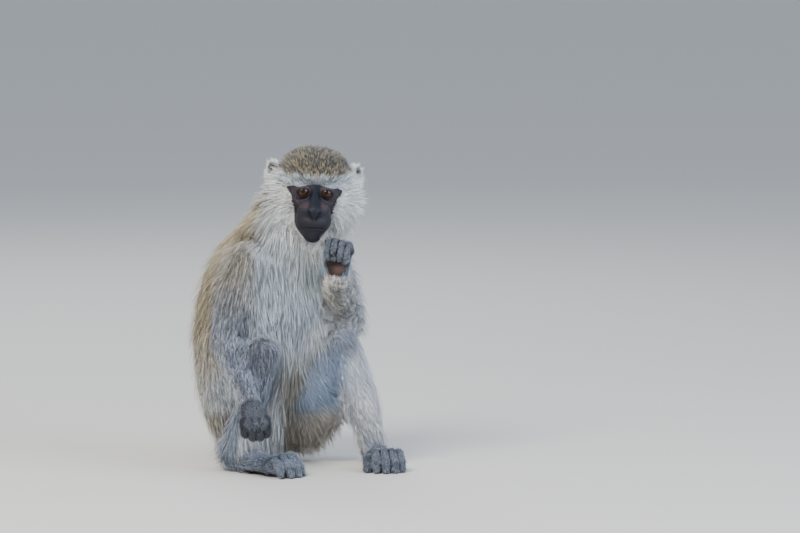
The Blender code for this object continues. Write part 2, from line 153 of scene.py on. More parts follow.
def unit(vectors):
    """Vectors at length 1, along the last axis."""
    vectors = np.asarray(vectors, float)
    return vectors / np.maximum(np.linalg.norm(vectors, axis=-1, keepdims=True), 1e-12)


def ramp(value, low, high):
    """0 below low and 1 above high, with an eased rise between, t * t * (3 - 2 t)."""
    t = np.clip((np.asarray(value, float) - low) / (high - low), 0.0, 1.0)
    return t * t * (3.0 - 2.0 * t)


def dot(a, b):
    """Dot products of matching rows."""
    return np.sum(a * b, axis=-1)


def turn_angles(count):
    """Even angles round a turn."""
    return np.arange(count) * 2 * math.pi / count


def close_to(points, place, reach, soft):
    """1 close to a place and 0 beyond a reach, with an eased fall over the last soft part of it."""
    return ramp(reach - np.linalg.norm(points - place, axis=1), 0.0, soft)


def flat_on(vectors, normals):
    """Vectors without their part along the normals."""
    return vectors - normals * dot(vectors, normals)[:, None]


def node_shape(name):
    """The welded points, in millimetres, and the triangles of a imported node."""
    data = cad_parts[name].data
    points, index = np.unique(np.round(mesh_points(data), 3), axis=0, return_inverse=True)
    triangles = index.reshape(-1)[mesh_triangles(data)]
    a, b, c = triangles.T
    return points, triangles[(a != b) & (b != c) & (c != a)]


def point_normals(points, faces):
    """Normals at the points: the sum of the faces' normals, weighted by area."""
    normal = np.cross(points[faces[:, 1]] - points[faces[:, 0]], points[faces[:, 2]] - points[faces[:, 0]])
    total = np.zeros_like(points)
    for corner in range(3):
        for axis in range(3):
            total[:, axis] += np.bincount(faces[:, corner], normal[:, axis], len(points))
    return unit(total)


def relaxed(values, edges, rounds, share=0.5):
    """Values at points, each moved by a share towards the mean of its neighbours, for some rounds."""
    values = np.array(values, float)
    flat = values.reshape(len(values), -1)
    ends = np.concatenate([edges[:, 0], edges[:, 1]])
    others = np.concatenate([edges[:, 1], edges[:, 0]])
    count = np.maximum(np.bincount(ends, minlength=len(flat)), 1)
    for _ in range(rounds):
        for axis in range(flat.shape[1]):
            mean = np.bincount(ends, flat[others, axis], len(flat)) / count
            flat[:, axis] += share * (mean - flat[:, axis])
    return flat.reshape(values.shape)


def new_object(name, data):
    """A new object in the scene, at the origin."""
    item = bpy.data.objects.new(name, data)
    bpy.context.scene.collection.objects.link(item)
    return item


def new_piece(name, points, faces, smooth=True):
    """An object from points in millimetres and faces as rows of corners, filled in as whole arrays."""
    points, faces = np.asarray(points, float), np.asarray(faces)
    data = bpy.data.meshes.new(name)
    data.vertices.add(len(points))
    data.vertices.foreach_set("co", (points * MM).astype(np.float32).ravel())
    data.loops.add(faces.size)
    data.loops.foreach_set("vertex_index", faces.astype(np.int32).ravel())
    data.polygons.add(len(faces))
    data.polygons.foreach_set("loop_start", np.arange(0, faces.size, faces.shape[1], dtype=np.int32))
    data.polygons.foreach_set("use_smooth", np.full(len(faces), smooth))
    data.update(calc_edges=True)
    return new_object(name, data)


def stacked(parts):
    """Several surfaces' points and faces as one, with each one's faces counted on from the points before."""
    counts = np.cumsum([0] + [len(points) for points, _ in parts])
    return (
        np.vstack([points for points, _ in parts]),
        np.vstack([faces + count for (_, faces), count in zip(parts, counts)]),
    )


def mesh_array(items, field, kind=float, width=3):
    """A field of a mesh's points, edges or triangles, as rows."""
    values = np.empty(len(items) * width, kind)
    items.foreach_get(field, values)
    return values.reshape(-1, width)


def mesh_points(data):
    """A mesh's points in millimetres."""
    return mesh_array(data.vertices, "co") / MM


def mesh_edges(data):
    """A mesh's edges as pairs of points."""
    return mesh_array(data.edges, "vertices", int, 2)


def mesh_triangles(data):
    """A mesh's faces as triangles."""
    data.calc_loop_triangles()
    return mesh_array(data.loop_triangles, "vertices", int)


def put_points(data, points):
    """Moves a mesh's points to places in millimetres."""
    data.vertices.foreach_set("co", (points * MM).ravel())
    data.update()


def put_attribute(data, name, values):
    """A float, vector or colour attribute at the points; a colour's rows of three are made opaque."""
    values = np.asarray(values, np.float32)
    if name.endswith("colour"):
        values = np.column_stack([values, np.ones(len(values), np.float32)])
    kind, field = {1: ("FLOAT", "value"), 3: ("FLOAT_VECTOR", "vector"), 4: ("FLOAT_COLOR", "color")}[
        values.size // len(values)]
    data.attributes.new(name, kind, "POINT").data.foreach_set(field, values.ravel())


def shaped(piece):
    """Puts the piece's evaluated shape in place of its mesh and modifiers."""
    bpy.context.view_layer.update()
    data = bpy.data.meshes.new_from_object(piece.evaluated_get(bpy.context.evaluated_depsgraph_get()))
    old = piece.data
    piece.modifiers.clear()
    piece.data = data
    bpy.data.meshes.remove(old)


def fused(name, parts, grain):
    """A piece of one closed surface: the parts stacked, then remeshed on a grid of a size."""
    piece = new_piece(name, *stacked(parts))
    fuse = piece.modifiers.new("fuse", "REMESH")
    fuse.mode = "VOXEL"
    fuse.voxel_size = grain
    shaped(piece)
    return piece


# The skeleton of the pose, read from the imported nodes.

SHAPES = {name: node_shape(name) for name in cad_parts}
FAR_SHARE = 0.93    # a node's far end is its points beyond this share of them
EYE_PLACE = (13.2, -31.4, 3.0)    # of the left eye from the head's centre, in the head's axes
LID_RADIUS = 9.75
HEAD_PITCH = math.radians(9.0)


def meeting(first, second, reach=2.0):
    """Where two nodes meet: the mean of the first one's points that lie near the second one's."""
    a = SHAPES[first][0]
    b = SHAPES[second][0]
    near = np.min(np.linalg.norm(a[:, None] - b[None], axis=2), axis=1) < reach
    return a[near].mean(0)


def far_point(name, start):
    """The middle of the points of a node that lie farthest from a start."""
    points = SHAPES[name][0]
    away = np.linalg.norm(points - start, axis=1)
    return points[away >= np.quantile(away, FAR_SHARE)].mean(0)


def box_middle(name):
    """The middle of a node's box."""
    points = SHAPES[name][0]
    return (points.min(0) + points.max(0)) / 2


def make_bones():
    """Each region's centre line and mean radius: name to (start, end, radius)."""
    ends = {}
    for side in SIDES:
        elbow = meeting(f"upper_arm_{side}", f"forearm_{side}")
        wrist = meeting(f"forearm_{side}", f"hand_{side}")
        knee = meeting(f"thigh_{side}", f"shin_{side}")
        ankle = meeting(f"shin_{side}", f"foot_{side}")
        shoulder = far_point(f"upper_arm_{side}", elbow)
        ends[f"upper_arm_{side}"] = (shoulder, elbow)
        ends[f"forearm_{side}"] = (elbow, wrist)
        ends[f"hand_{side}"] = (wrist, far_point(f"hand_{side}", wrist))
        ends[f"thigh_{side}"] = (far_point(f"thigh_{side}", knee), knee)
        ends[f"shin_{side}"] = (knee, ankle)
        ends[f"foot_{side}"] = (ankle, far_point(f"foot_{side}", ankle))
    trunk_low, trunk_high = SHAPES["trunk"][0].min(0), SHAPES["trunk"][0].max(0)
    nape = meeting("neck", "trunk")
    seat = np.array([0.0, 0.0, trunk_low[2] + 0.2 * (trunk_high[2] - trunk_low[2])])
    ends["trunk"] = (seat, nape - UP * 22)
    ends["neck"] = (nape, meeting("head", "neck"))
    rump = meeting("tail_base", "trunk")
    base_end, middle_end = meeting("tail_base", "tail_middle"), meeting("tail_middle", "tail_tip")
    ends["tail_base"] = (rump, base_end)
    ends["tail_middle"] = (base_end, middle_end)
    ends["tail_tip"] = (middle_end, far_point("tail_tip", middle_end))
    return {
        name: (start, end, float(np.median(along_bone(SHAPES[name][0], start, end)[1])))
        for name, (start, end) in ends.items()
    }


def along_bone(points, start, end):
    """Share of the way along a line, held to 0 and 1, and the distance from it."""
    line = end - start
    share = np.clip((points - start) @ line / (line @ line), 0.0, 1.0)
    return share, np.linalg.norm(points - start - share[:, None] * line, axis=1)


BONES = make_bones()


def head_frame(pitch):
    """The head's centre and its axes as rows: right of one who faces it, back and up."""
    left, right = box_middle("eye_left"), box_middle("eye_right")
    across = unit(left - right)
    level = unit(np.cross(UP, across))
    rise = np.cross(across, level)
    back = math.cos(pitch) * level + math.sin(pitch) * rise
    up = math.cos(pitch) * rise - math.sin(pitch) * level
    return (left + right) / 2 - back * EYE_PLACE[1] - up * EYE_PLACE[2], np.array([across, back, up])


HEAD_CENTRE, HEAD_AXES = head_frame(HEAD_PITCH)


def to_head(points):
    """Points in the head's own axes."""
    return (np.asarray(points, float) - HEAD_CENTRE) @ HEAD_AXES.T


def from_head(points):
    """Points given in the head's own axes, in the frame's."""
    return np.asarray(points, float) @ HEAD_AXES + HEAD_CENTRE


# Forms: signed distances in millimetres, below 0 inside.

def ball(points, centre, radii):
    """Distance to an ellipsoid: k (k - 1) / g, with k the scaled radius and g the length of its gradient."""
    radii = np.asarray(radii, float)
    scaled = (points - np.asarray(centre, float)) / radii
    size = np.linalg.norm(scaled, axis=1)
    return size * (size - 1.0) / np.maximum(np.linalg.norm(scaled / radii, axis=1), 1e-9)


def bone(points, start, end, first, last):
    """Distance to a ball swept along a line while its radius goes from the first to the last."""
    share, away = along_bone(points, np.asarray(start, float), np.asarray(end, float))
    return away - (first + (last - first) * share)


def join(a, b, soft):
    """Smooth union: the lower of two distances, less h * h * soft / 4 where they are within soft."""
    h = np.maximum(soft - np.abs(a - b), 0.0) / soft
    return np.minimum(a, b) - h * h * soft * 0.25


def carve(a, b, soft):
    """Smooth cut of b out of a."""
    return -join(-a, b, soft)


# The head's parts in its own axes, in the order in which they join the skull: whether there is one on each
# side, the form, its sizes, and how softly it joins.
SKULL = ((0, 11, 6), (41, 42, 36))
HEAD_PARTS = (
    (True, ball, ((23, 3, -19), (22, 28, 24)), 14.0),    # jowl
    (True, ball, ((10, -20.0, 13.0), (15.5, 9.5, 7.0)), 12.0),    # brow
    (True, ball, ((17, -19, -7), (15.5, 13.5, 15)), 9.0),    # cheek bone
    (False, bone, ((0, -18, -9), (0, -41, -23), 18.5, 17.0), 9.0),    # muzzle
    (False, ball, ((0, -47.5, -26), (18.0, 17.5, 12.5)), 8.0),    # lips
    (True, ball, ((8.6, -42, -28.5), (9.4, 15, 9.5)), 7.0),    # lips' corners
    (False, bone, ((0, -22, -30), (0, -49.5, -39.5), 13.5, 11.4), 6.5),    # jaw and chin
    (False, bone, ((0, -27, 2), (0, -52, -14), 9.5, 9.0), 6.0),    # bridge
    (False, bone, ((0, -32, 6), (0, -57.0, -11.0), 5.2, 6.2), 5.0),    # ridge of the nose
    (False, ball, ((0, -59.8, -13.4), (6.6, 4.4, 5.4)), 3.0),    # tip of the nose
    (False, ball, ((0, -59.6, -18.4), (4.2, 4.2, 4.6)), 3.0),    # between the nostrils
    (True, ball, ((4.2, -58.6, -14.2), (2.8, 3.4, 3.4)), 4.0),    # wing of the nose
    (True, ball, ((8.0, -45.0, -14.0), (9.5, 13.0, 9.0)), 6.0),    # beside the nose
)
EYE_SOCKET = ((13.6, -42.5, 2.6), (8.4, 7.0, 7.6))
LID_FOLDS = ((11.8, 0.6), (14.6, 0.5))    # radius round the eye and depth


def head_form(points, fine=True):
    """The bare head in its own axes: smooth unions of the skull and its parts, then sockets and lids."""
    mirrored = np.column_stack([np.abs(points[:, 0]), points[:, 1:]])
    eye = mirrored - np.array(EYE_PLACE)
    form = ball(points, *SKULL)
    for on_both_sides, shape, sizes, soft in HEAD_PARTS:
        form = join(form, shape(mirrored if on_both_sides else points, *sizes), soft)
    form = carve(form, ball(mirrored, *EYE_SOCKET), 4.0)
    form = join(form, np.linalg.norm(eye, axis=1) - LID_RADIUS, 2.2)
    return with_features(form, points, mirrored, eye) if fine else form


def with_features(form, points, mirrored, eye):
    """The head's form with its finest cuts: the lids' openings and folds, the nostrils and the mouth."""
    x, y, z = points.T
    # The lids' almond opening, cut down to just under the eyeball's surface.
    tilt = eye[:, 2] + 0.10 * eye[:, 0]
    height = np.where(tilt > 0, 4.6, 4.1)
    almond = (np.sqrt((eye[:, 0] / 6.6) ** 2 + (tilt / height) ** 2) - 1.0) * 4.5
    form = carve(form, np.maximum(almond, 7.7 - np.linalg.norm(eye, axis=1)), 0.5)
    form = form + groove(np.abs(almond - 1.5), 0.7, 0.35) * ramp(-eye[:, 1], 3.0, 6.0)
    for size, depth in LID_FOLDS:
        ring = np.abs(np.linalg.norm(eye[:, [0, 2]] * (0.92, 1.0), axis=1) - size)
        form = form + groove(ring, 0.9, depth) * ramp(-tilt, 2.0, 6.0) * ramp(-y, 22, 30) * ramp(
            np.abs(x), 6, 10)
    # Nostrils, slits that run down and in, and the shallow groove under them.
    form = carve(form, bone(mirrored, (6.2, -63.2, -13.0), (2.3, -64.6, -20.6), 1.4, 0.9), 0.6)
    form = form + groove(np.abs(x), 0.9, 0.5) * ramp(-y, 52, 58) * ramp(-z, 17, 20) * ramp(z, -31, -28)
    # The mouth's line and the creases from the wings of the nose.
    form = form + groove(np.abs(mouth_height(x, z)), 0.75, 0.8) * ramp(-y, 34, 42) * ramp(
        17.5 - np.abs(x), 0.0, 3.0)
    return form + groove(bone(mirrored, (7.4, -57.5, -12.5), (14.0, -43.0, -21.0), 0.0, 0.0), 1.3, 0.7)


def mouth_height(x, z):
    """Height above the line of the mouth, which drops a little at its corners."""
    return z + 31.0 + 0.012 * x ** 2


def groove(away, width, depth):
    """How far a surface drops at a distance from a line: depth exp(-(away / width) squared)."""
    return depth * np.exp(-(away / width) ** 2)


def settle(points, form, rounds=6, reach=1.6):
    """Points moved onto a form's surface: each step is minus the distance along its gradient, up to reach."""
    points = np.array(points, float)
    small = 0.05
    for _ in range(rounds):
        value = form(points)
        slope = np.stack([(form(points + small * axis) - value) / small for axis in np.eye(3)], axis=1)
        steep = np.maximum(dot(slope, slope), 0.25)
        step = -(value / steep)[:, None] * slope
        length = np.linalg.norm(step, axis=1, keepdims=True)
        points += step * np.minimum(1.0, reach / np.maximum(length, 1e-9))
    return points


# Closed surfaces on a grid of two parameters.

def closed_grid(rings, first, last):
    """Points and triangles of a closed surface: rings of points, with a point at each end."""
    count, turn = rings.shape[:2]
    points = np.vstack([[first], rings.reshape(-1, 3), [last]])
    i, j = np.meshgrid(np.arange(count - 1), np.arange(turn), indexing="ij")
    after = (j + 1) % turn
    a, b = 1 + i * turn + j, 1 + i * turn + after
    c, d = b + turn, a + turn
    spin = np.arange(turn)
    end = 1 + count * turn
    tail = 1 + (count - 1) * turn
    return points, np.concatenate([
        np.stack([np.zeros(turn, int), 1 + (spin + 1) % turn, 1 + spin], -1),
        np.stack([a, b, c], -1).reshape(-1, 3),
        np.stack([a, c, d], -1).reshape(-1, 3),
        np.stack([np.full(turn, end), tail + spin, tail + (spin + 1) % turn], -1),
    ])


def outward(points, faces):
    """Faces turned so that the closed surface's volume is above 0."""
    a, b, c = (points[faces[:, k]] for k in range(3))
    return faces if dot(a, np.cross(b, c)).sum() > 0 else faces[:, ::-1]


def swept_ball(start, end, first, last, rows=6, turn=14):
    """A capsule: quarter turns of the end radii on either side of a straight run, spun about the line."""
    start, end = np.asarray(start, float), np.asarray(end, float)
    along = unit(end - start)
    side = unit(np.cross(along, ASIDE))
    other = np.cross(along, side)
    quarter = np.linspace(0, math.pi / 2, rows + 1)[1:]
    spin = turn_angles(turn)
    circle = np.outer(np.cos(spin), side) + np.outer(np.sin(spin), other)
    rings = [start - along * first * math.cos(q) + circle * first * math.sin(q) for q in quarter]
    rings += [end + along * last * math.cos(q) + circle * last * math.sin(q) for q in quarter[::-1]]
    points, faces = closed_grid(np.array(rings), start - along * first, end + along * last)
    return points, outward(points, faces)


def head_surface(rows=88, turn=150, halvings=18):
    """The head without its fine cuts: along each ray from inside it, the radius where the form is 0."""
    core = np.array([0.0, -12.0, -8.0])
    tilt = np.linspace(0, math.pi, rows + 2)[1:-1]
    spin = turn_angles(turn)
    rays = np.stack([
        np.outer(np.sin(tilt), np.cos(spin)), np.outer(np.sin(tilt), np.sin(spin)),
        np.outer(np.cos(tilt), np.ones(turn)),
    ], -1).reshape(-1, 3)
    rays = np.vstack([[UP], rays, [-UP]])
    low, high = np.full(len(rays), 8.0), np.full(len(rays), 90.0)
    for _ in range(halvings):
        middle = (low + high) / 2
        inside = head_form(core + rays * middle[:, None], fine=False) < 0
        low, high = np.where(inside, middle, low), np.where(inside, high, middle)
    points = core + rays * low[:, None]
    points, faces = closed_grid(points[1:-1].reshape(rows, turn, 3), points[0], points[-1])
    points = from_head(points)
    return points, outward(points, faces)


# Hands and feet: bones of a palm and its digits, placed from the nodes' boxes.

FINGER_BONES, FINGER_RADII = (17.0, 12.0, 9.0), (5.0, 4.6, 4.2, 3.6)
TOE_BONES, TOE_RADII = (18.0, 15.0, 11.0), (4.9, 4.5, 4.1, 3.5)
DIGIT_SHARES = (0.92, 1.0, 0.98, 0.85)    # each digit's length, from the inner side


def turned(vector, axis, degrees):
    """The vector turned about an axis, by the sum of its parts along, across and square to it."""
    angle = math.radians(degrees)
    axis = unit(axis)
    return (
        vector * math.cos(angle) + np.cross(axis, vector) * math.sin(angle)
        + axis * (axis @ vector) * (1 - math.cos(angle))
    )


def digit_bones(root, ahead, axis, lengths, bends, radii):
    """The bones of a finger or toe: each turns by its own bend about the axis."""
    rows = []
    point, direction = np.asarray(root, float), unit(ahead)
    for length, bend, first, last in zip(lengths, bends, radii, radii[1:]):
        direction = turned(direction, axis, bend)
        rows.append((point, point + direction * length, first, last))
        point = point + direction * length
    return rows


def hand_bones(wrist, ahead, palm, thumb_side, bends, thumb, spread=1.0, reach=1.0, stout=1.0, arch=0.16):
    """A palm, four fingers that bend towards it, and a thumb."""
    ahead = unit(ahead)
    palm = unit(np.asarray(palm, float) - ahead * (np.asarray(palm, float) @ ahead))
    across = np.cross(ahead, palm) * thumb_side
    axis = np.cross(ahead, palm)
    wrist = np.asarray(wrist, float)
    knuckles = wrist + ahead * 34
    rows = [(wrist - ahead * 12, wrist + ahead * 8, 8.0, 8.6)]
    for place in (-7.0, 0.0, 7.0):
        rows.append((
            wrist + ahead * 4 + across * place * 0.5, knuckles + across * place * 1.15 * spread, 7.6, 5.8))
    rows.append((
        wrist + ahead * 10 + across * 5 + palm * 3, wrist + ahead * 24 + across * 8 + palm * 3, 6.5, 5.0))
    digits = []
    for i, share in enumerate(DIGIT_SHARES):
        place = (1.5 - i) * 7.5 * spread
        root = knuckles + across * place - ahead * abs(place) * arch
        lengths = [bone_length * share * reach for bone_length in FINGER_BONES]
        bend = [b + (i - 1.5) * 4 for b in bends]
        radii = np.array(FINGER_RADII) * stout
        digits.append(digit_bones(root, ahead - across * place * 0.004, axis, lengths, bend, radii))
    root = wrist + ahead * 13 + across * 10 + palm * 4
    lean = ahead * thumb[0] + across * thumb[1] + palm * thumb[2]
    digits.append(digit_bones(root, lean, axis, (14.0, 10.0), (0.0, thumb[3]), (5.4, 4.2, 3.4)))
    return rows, digits, (wrist, ahead, palm, axis)


def foot_bones(heel, ahead, inner_side, bends, spread=1.0):
    """A foot flat on the ground, with bent toes and a big toe that splays."""
    ahead = unit(ahead)
    inner = np.cross(UP, ahead) * inner_side
    axis = np.cross(ahead, -UP)
    heel = np.asarray(heel, float)
    toes = heel + ahead * 66
    rows = [
        (heel + UP * 11.5, heel + ahead * 30 + UP * 11, 10.5, 10.5),
        (heel + UP * 14, heel - ahead * 1 + UP * 30, 10.5, 11.0),
    ]
    for place in (-8.0, 0.0, 8.0):
        root = heel + ahead * 22 + inner * place * 0.5 + UP * 11
        rows.append((root, toes + inner * place * 1.1 + UP * 10.5, 9.0, 7.2))
    for place in (-7.0, 7.0):
        rows.append((toes + inner * place + UP * 9.5, toes + ahead * 13 + inner * place + UP * 8.0, 8.0, 7.0))
    digits = []
    for i, share in enumerate(DIGIT_SHARES):
        place = (1.5 - i) * 7.8 * spread
        root = toes + inner * place - ahead * abs(place) * 0.2 + UP * 11.5
        lengths = [bone_length * share for bone_length in TOE_BONES]
        digits.append(digit_bones(root, ahead + inner * place * 0.01, axis, lengths, bends, TOE_RADII))
    root = heel + ahead * 42 + inner * 12 + UP * 9.5
    big_toe = (18.0, 14.0, 10.0), (-8.0, 18.0, 26.0), (6.4, 5.6, 5.0, 4.2)
    digits.append(digit_bones(root, ahead + inner * 0.3, axis, *big_toe))
    return rows, digits, (heel, ahead, -UP, axis)


def placed(name, offset):
    """A point given in millimetres from the middle of a node's box."""
    return box_middle(name) + np.asarray(offset, float)


LIMB_ENDS = {
    "hand_left": hand_bones(
        placed("hand_left", (-1.35, 7.7, -18.5)), (0.14, -0.12, 0.98), (-0.22, -0.97, -0.1), -1,
        (62, 92, 56), (1.0, -0.30, 0.60, 34), 1.0, 0.95, 0.86, 0.34,
    ),
    "hand_right": hand_bones(
        placed("hand_right", (-4.55, 13.5, 13.8)), (0.16, -0.86, -0.44), (0.0, 0.44, -0.86), 1,
        (60, 92, 60), (0.9, 0.1, 0.5, 30), 1.04, 0.90, 1.1, 0.40,
    ),
    "foot_left": foot_bones(
        placed("foot_left", (-12.0, 41.05, -16.7)), (0.22, -0.975, 0.0), -1, (-36, 74, 40), 0.94),
    "foot_right": foot_bones(
        placed("foot_right", (-33.9, 30.55, -15.85)), (0.74, -0.67, 0.0), 1, (-34, 70, 38)),
}


def limb_end_form(name):
    """The form of a hand or foot: its bones joined softly, its digits with tight creases between them."""
    rows, digits, _ = LIMB_ENDS[name]

    def form(points):
        body = None
        for row in rows:
            away = bone(points, *row)
            body = away if body is None else join(body, away, 5.0)
        for digit in digits:
            finger = None
            for row in digit:
                away = bone(points, *row)
                finger = away if finger is None else join(finger, away, 1.2)
            body = join(body, finger, 0.8)
        if name.startswith("foot"):
            body = np.maximum(body, SKIN_LOW - points[:, 2])
        return body

    return form


def limb_end_bones(name):
    """All bones of a hand or foot: start, end, direction, the side its back faces, share bare at its end."""
    rows, digits, (_, ahead, palm, axis) = LIMB_ENDS[name]
    table = [(start, end, ahead, -palm, 0.0, 0.0) for start, end, _, _ in rows]
    for digit in digits:
        for place, (start, end, _, _) in enumerate(digit):
            direction = unit(end - start)
            table.append((start, end, direction, -np.cross(axis, direction), place / len(digit), 1.0))
    return table


def nearest_bone(name, points):
    """For each point, its nearest bone's lie, back side, share of the way out and whether it is a digit's.

    Last comes how near it is to the crease between two digits, whose distances are then the same.
    """
    table = limb_end_bones(name)
    away = np.array([along_bone(points, row[0], row[1])[1] for row in table])
    chosen = away.argmin(0)
    digits = np.array([
        np.min([along_bone(points, start, end)[1] for start, end, _, _ in digit], axis=0)
        for digit in LIMB_ENDS[name][1][:4]])
    digits.sort(axis=0)
    crease = ramp(2.0 - (digits[1] - digits[0]), 0.0, 1.5)
    return (*(np.array([row[k] for row in table])[chosen] for k in (2, 3, 4, 5)), crease)


# Regions of the body, their coat's depth and how it lies.

# name: depth of the coat, length of a tuft, its lift in degrees, its width, tufts wanted per unit area
COAT_PLAN = {
    "head": (0.0, 11.0, 24.0, 0.54, 21.0),
    "neck": (5.5, 22.0, 24.0, 0.50, 17.0),
    "trunk": (8.0, 22.0, 17.0, 0.54, 18.0),
    "upper_arm": (4.6, 16.0, 15.0, 0.56, 16.0),
    "forearm": (3.4, 12.0, 16.0, 0.52, 16.0),
    "hand": (0.0, 5.0, 15.0, 0.42, 9.0),
    "thigh": (4.6, 14.0, 11.0, 0.46, 16.0),
    "shin": (4.2, 14.0, 13.0, 0.46, 16.0),
    "foot": (0.0, 8.0, 18.0, 0.50, 10.0),
    "tail": (2.8, 9.0, 17.0, 0.62, 5.0),
}
REGIONS = tuple(BONES) + ("head",)
CORE_DEPTH = {"head": 15.0, "hand": 5.5, "foot": 6.5}


def plan_of(region):
    """The coat plan's row for a region."""
    for kind, row in COAT_PLAN.items():
        if region.startswith(kind):
            return row
    raise KeyError(region)


def region_shares(points, sharp=9.0):
    """How far each point belongs to each region: exp(-sharp * distance / radius), over the sum of all."""
    near = []
    for region in REGIONS:
        if region == "head":
            near.append(np.linalg.norm((to_head(points) - (0, 2, -4)) / (46, 48, 44), axis=1))
        else:
            start, end, radius = BONES[region]
            near.append(along_bone(points, start, end)[1] / radius)
    near = np.array(near)
    shares = np.exp(-sharp * (near - near.min(0)))
    return shares / shares.sum(0)


def share_of(shares, *kinds):
    """The summed share of the regions whose names start with one of the kinds."""
    return sum(shares[i] for i, region in enumerate(REGIONS) if region.startswith(kinds))


def gap_middle():
    """The middle of the gap that belly, left elbow and left knee leave between them."""
    elbow, knee = BONES["forearm_left"][0], BONES["thigh_left"][1]
    return 0.5 * (elbow + knee) + np.array([-18.0, 0.0, 10.0])


# The skin.

SEAM_SWELL = 0.45    # more than the gap between two nodes takes from each, so that they fuse
SHELL_GRAIN = 1.9    # the shell's grid, beside the skin's own


def body_shell(grain):
    """The flesh nodes fused, softened and drawn in by the coat's depth, and further under a finer form."""
    parts = []
    for name in FLESH:
        if not name.startswith("ear"):
            points, faces = SHAPES[name]
            parts.append((points + SEAM_SWELL * point_normals(points, faces), faces))
    piece = fused("shell", parts, grain * SHELL_GRAIN)
    points, edges, faces = mesh_points(piece.data), mesh_edges(piece.data), mesh_triangles(piece.data)
    bpy.data.objects.remove(piece)
    points = relaxed(points, edges, 10)
    normals = unit(relaxed(point_normals(points, faces), edges, 6))
    depth = sum(
        share * CORE_DEPTH.get(region.split("_")[0], plan_of(region)[0])
        for share, region in zip(region_shares(points), REGIONS)
    )
    return points - normals * relaxed(depth, edges, 14)[:, None], faces


EAR_WIDE, EAR_TALL, EAR_TAPER = 9.6, 14.6, 0.10    # half sizes of the oval rim, and its narrowing upwards


def ear_frame(side):
    """An ear's middle and its axes as rows: across the dish, up it, and out of its open face."""
    out, back, up = HEAD_AXES[0] * side, HEAD_AXES[1], HEAD_AXES[2]
    wide = unit(out * 0.72 + back * 0.69)
    tall = unit(up + back * 0.10 - out * 0.05)
    tall = unit(tall - wide * (tall @ wide))
    face = np.cross(tall, wide)
    face = face if face @ (out - back) > 0 else -face
    middle = box_middle("ear_left" if side > 0 else "ear_right")
    return middle + face * 0.6 - up * 4.0 - out, np.array([wide, tall, face])


def ear_dish(reach):
    """Height of the dish out of its face at a share of the way to the rim."""
    return 4.4 * reach ** 2 - 2.0


def ear_form(side):
    """An ear's form: a plate 2.6 thick round the dish, held inside the oval rim."""
    place, axes = ear_frame(side)

    def form(points):
        a, b, c = ((points - place) @ axes.T).T
        reach = np.sqrt((a / (EAR_WIDE - EAR_TAPER * b)) ** 2 + (b / EAR_TALL) ** 2)
        plate = np.abs(c - (ear_dish(reach) - 2.6 * np.maximum(reach - 0.86, 0.0))) - 1.3
        return -join(-plate, -(reach - 1.0) * 9.0, 1.6)

    return form


def ear_surface(side, turn=40):
    """An ear to fuse: the front and the back of the dish, closed round the rim."""
    place, axes = ear_frame(side)
    spin = turn_angles(turn)
    steps = (0.25, 0.5, 0.75, 0.95)
    rings = []
    for reach, thick in [*((step, 1) for step in steps), (1.0, 0), *((step, -1) for step in reversed(steps))]:
        height = ear_dish(reach) + 1.9 * thick
        tall = np.sin(spin) * EAR_TALL * reach
        wide = np.cos(spin) * (EAR_WIDE - EAR_TAPER * tall) * reach
        rings.append(place + np.column_stack([wide, tall, np.full(turn, height)]) @ axes)
    points, faces = closed_grid(np.array(rings), place - axes[2] * 0.5, place - axes[2] * 3.5)
    return points, outward(points, faces)


def ear_zone(side, points):
    """Share of an ear, away from the skull."""
    return ramp(1.6 - ear_form(side)(points), 0.0, 0.8) * ramp(
        head_form(to_head(points), fine=False), 1.0, 3.0)


def face_zone(head_points):
    """Share, from 0 to 1, of the bare face and the lids, brow and muzzle round it."""
    x, y, z = head_points.T
    return ramp(-y, 13.0, 22.0) * ramp(34.0 - np.abs(x), 0.0, 6.0) * ramp(z, -60.0, -54.0) * ramp(
        24.0 - z, 0.0, 6.0)


def feature_zone(head_points):
    """Share of the lids, the nose tip and the mouth line, which need the finest faces."""
    m = np.column_stack([np.abs(head_points[:, 0]), head_points[:, 1:]])
    lids = np.linalg.norm(m - EYE_PLACE, axis=1) - 12.0
    nose = np.linalg.norm(m - (3.5, -63, -15.5), axis=1) - 6.5
    mouth = np.maximum(np.abs(m[:, 2] + 31.5) - 2.2, 40.0 + m[:, 1])
    return ramp(-np.minimum(np.minimum(lids, nose), mouth), -1.0, 0.0) * face_zone(head_points)


def limb_end_zone(name, points):
    """Share, from 0 to 1, of a hand or foot, fading at the wrist or ankle."""
    _, _, (origin, ahead, _, _) = LIMB_ENDS[name]
    near = ramp(3.5 - limb_end_form(name)(points), 0.0, 1.5)
    if name.startswith("foot"):
        return near * ramp(30.0 - points[:, 2], 0.0, 8.0)
    return near * ramp((points - origin) @ ahead, -9.0, -1.0)


def subdivided(piece, chosen, cuts):
    """Splits the edges whose both ends are chosen."""
    mesh = bmesh.new()
    mesh.from_mesh(piece.data)
    edges = mesh_edges(piece.data)
    mesh.edges.ensure_lookup_table()
    split = [mesh.edges[i] for i in np.flatnonzero(chosen[edges].all(1))]
    bmesh.ops.subdivide_edges(mesh, edges=split, cuts=cuts, use_grid_fill=True)
    bmesh.ops.triangulate(mesh, faces=[face for face in mesh.faces if len(face.verts) > 4])
    mesh.to_mesh(piece.data)
    mesh.free()


THINNING = 0.22    # share of the fused skin's faces that stay


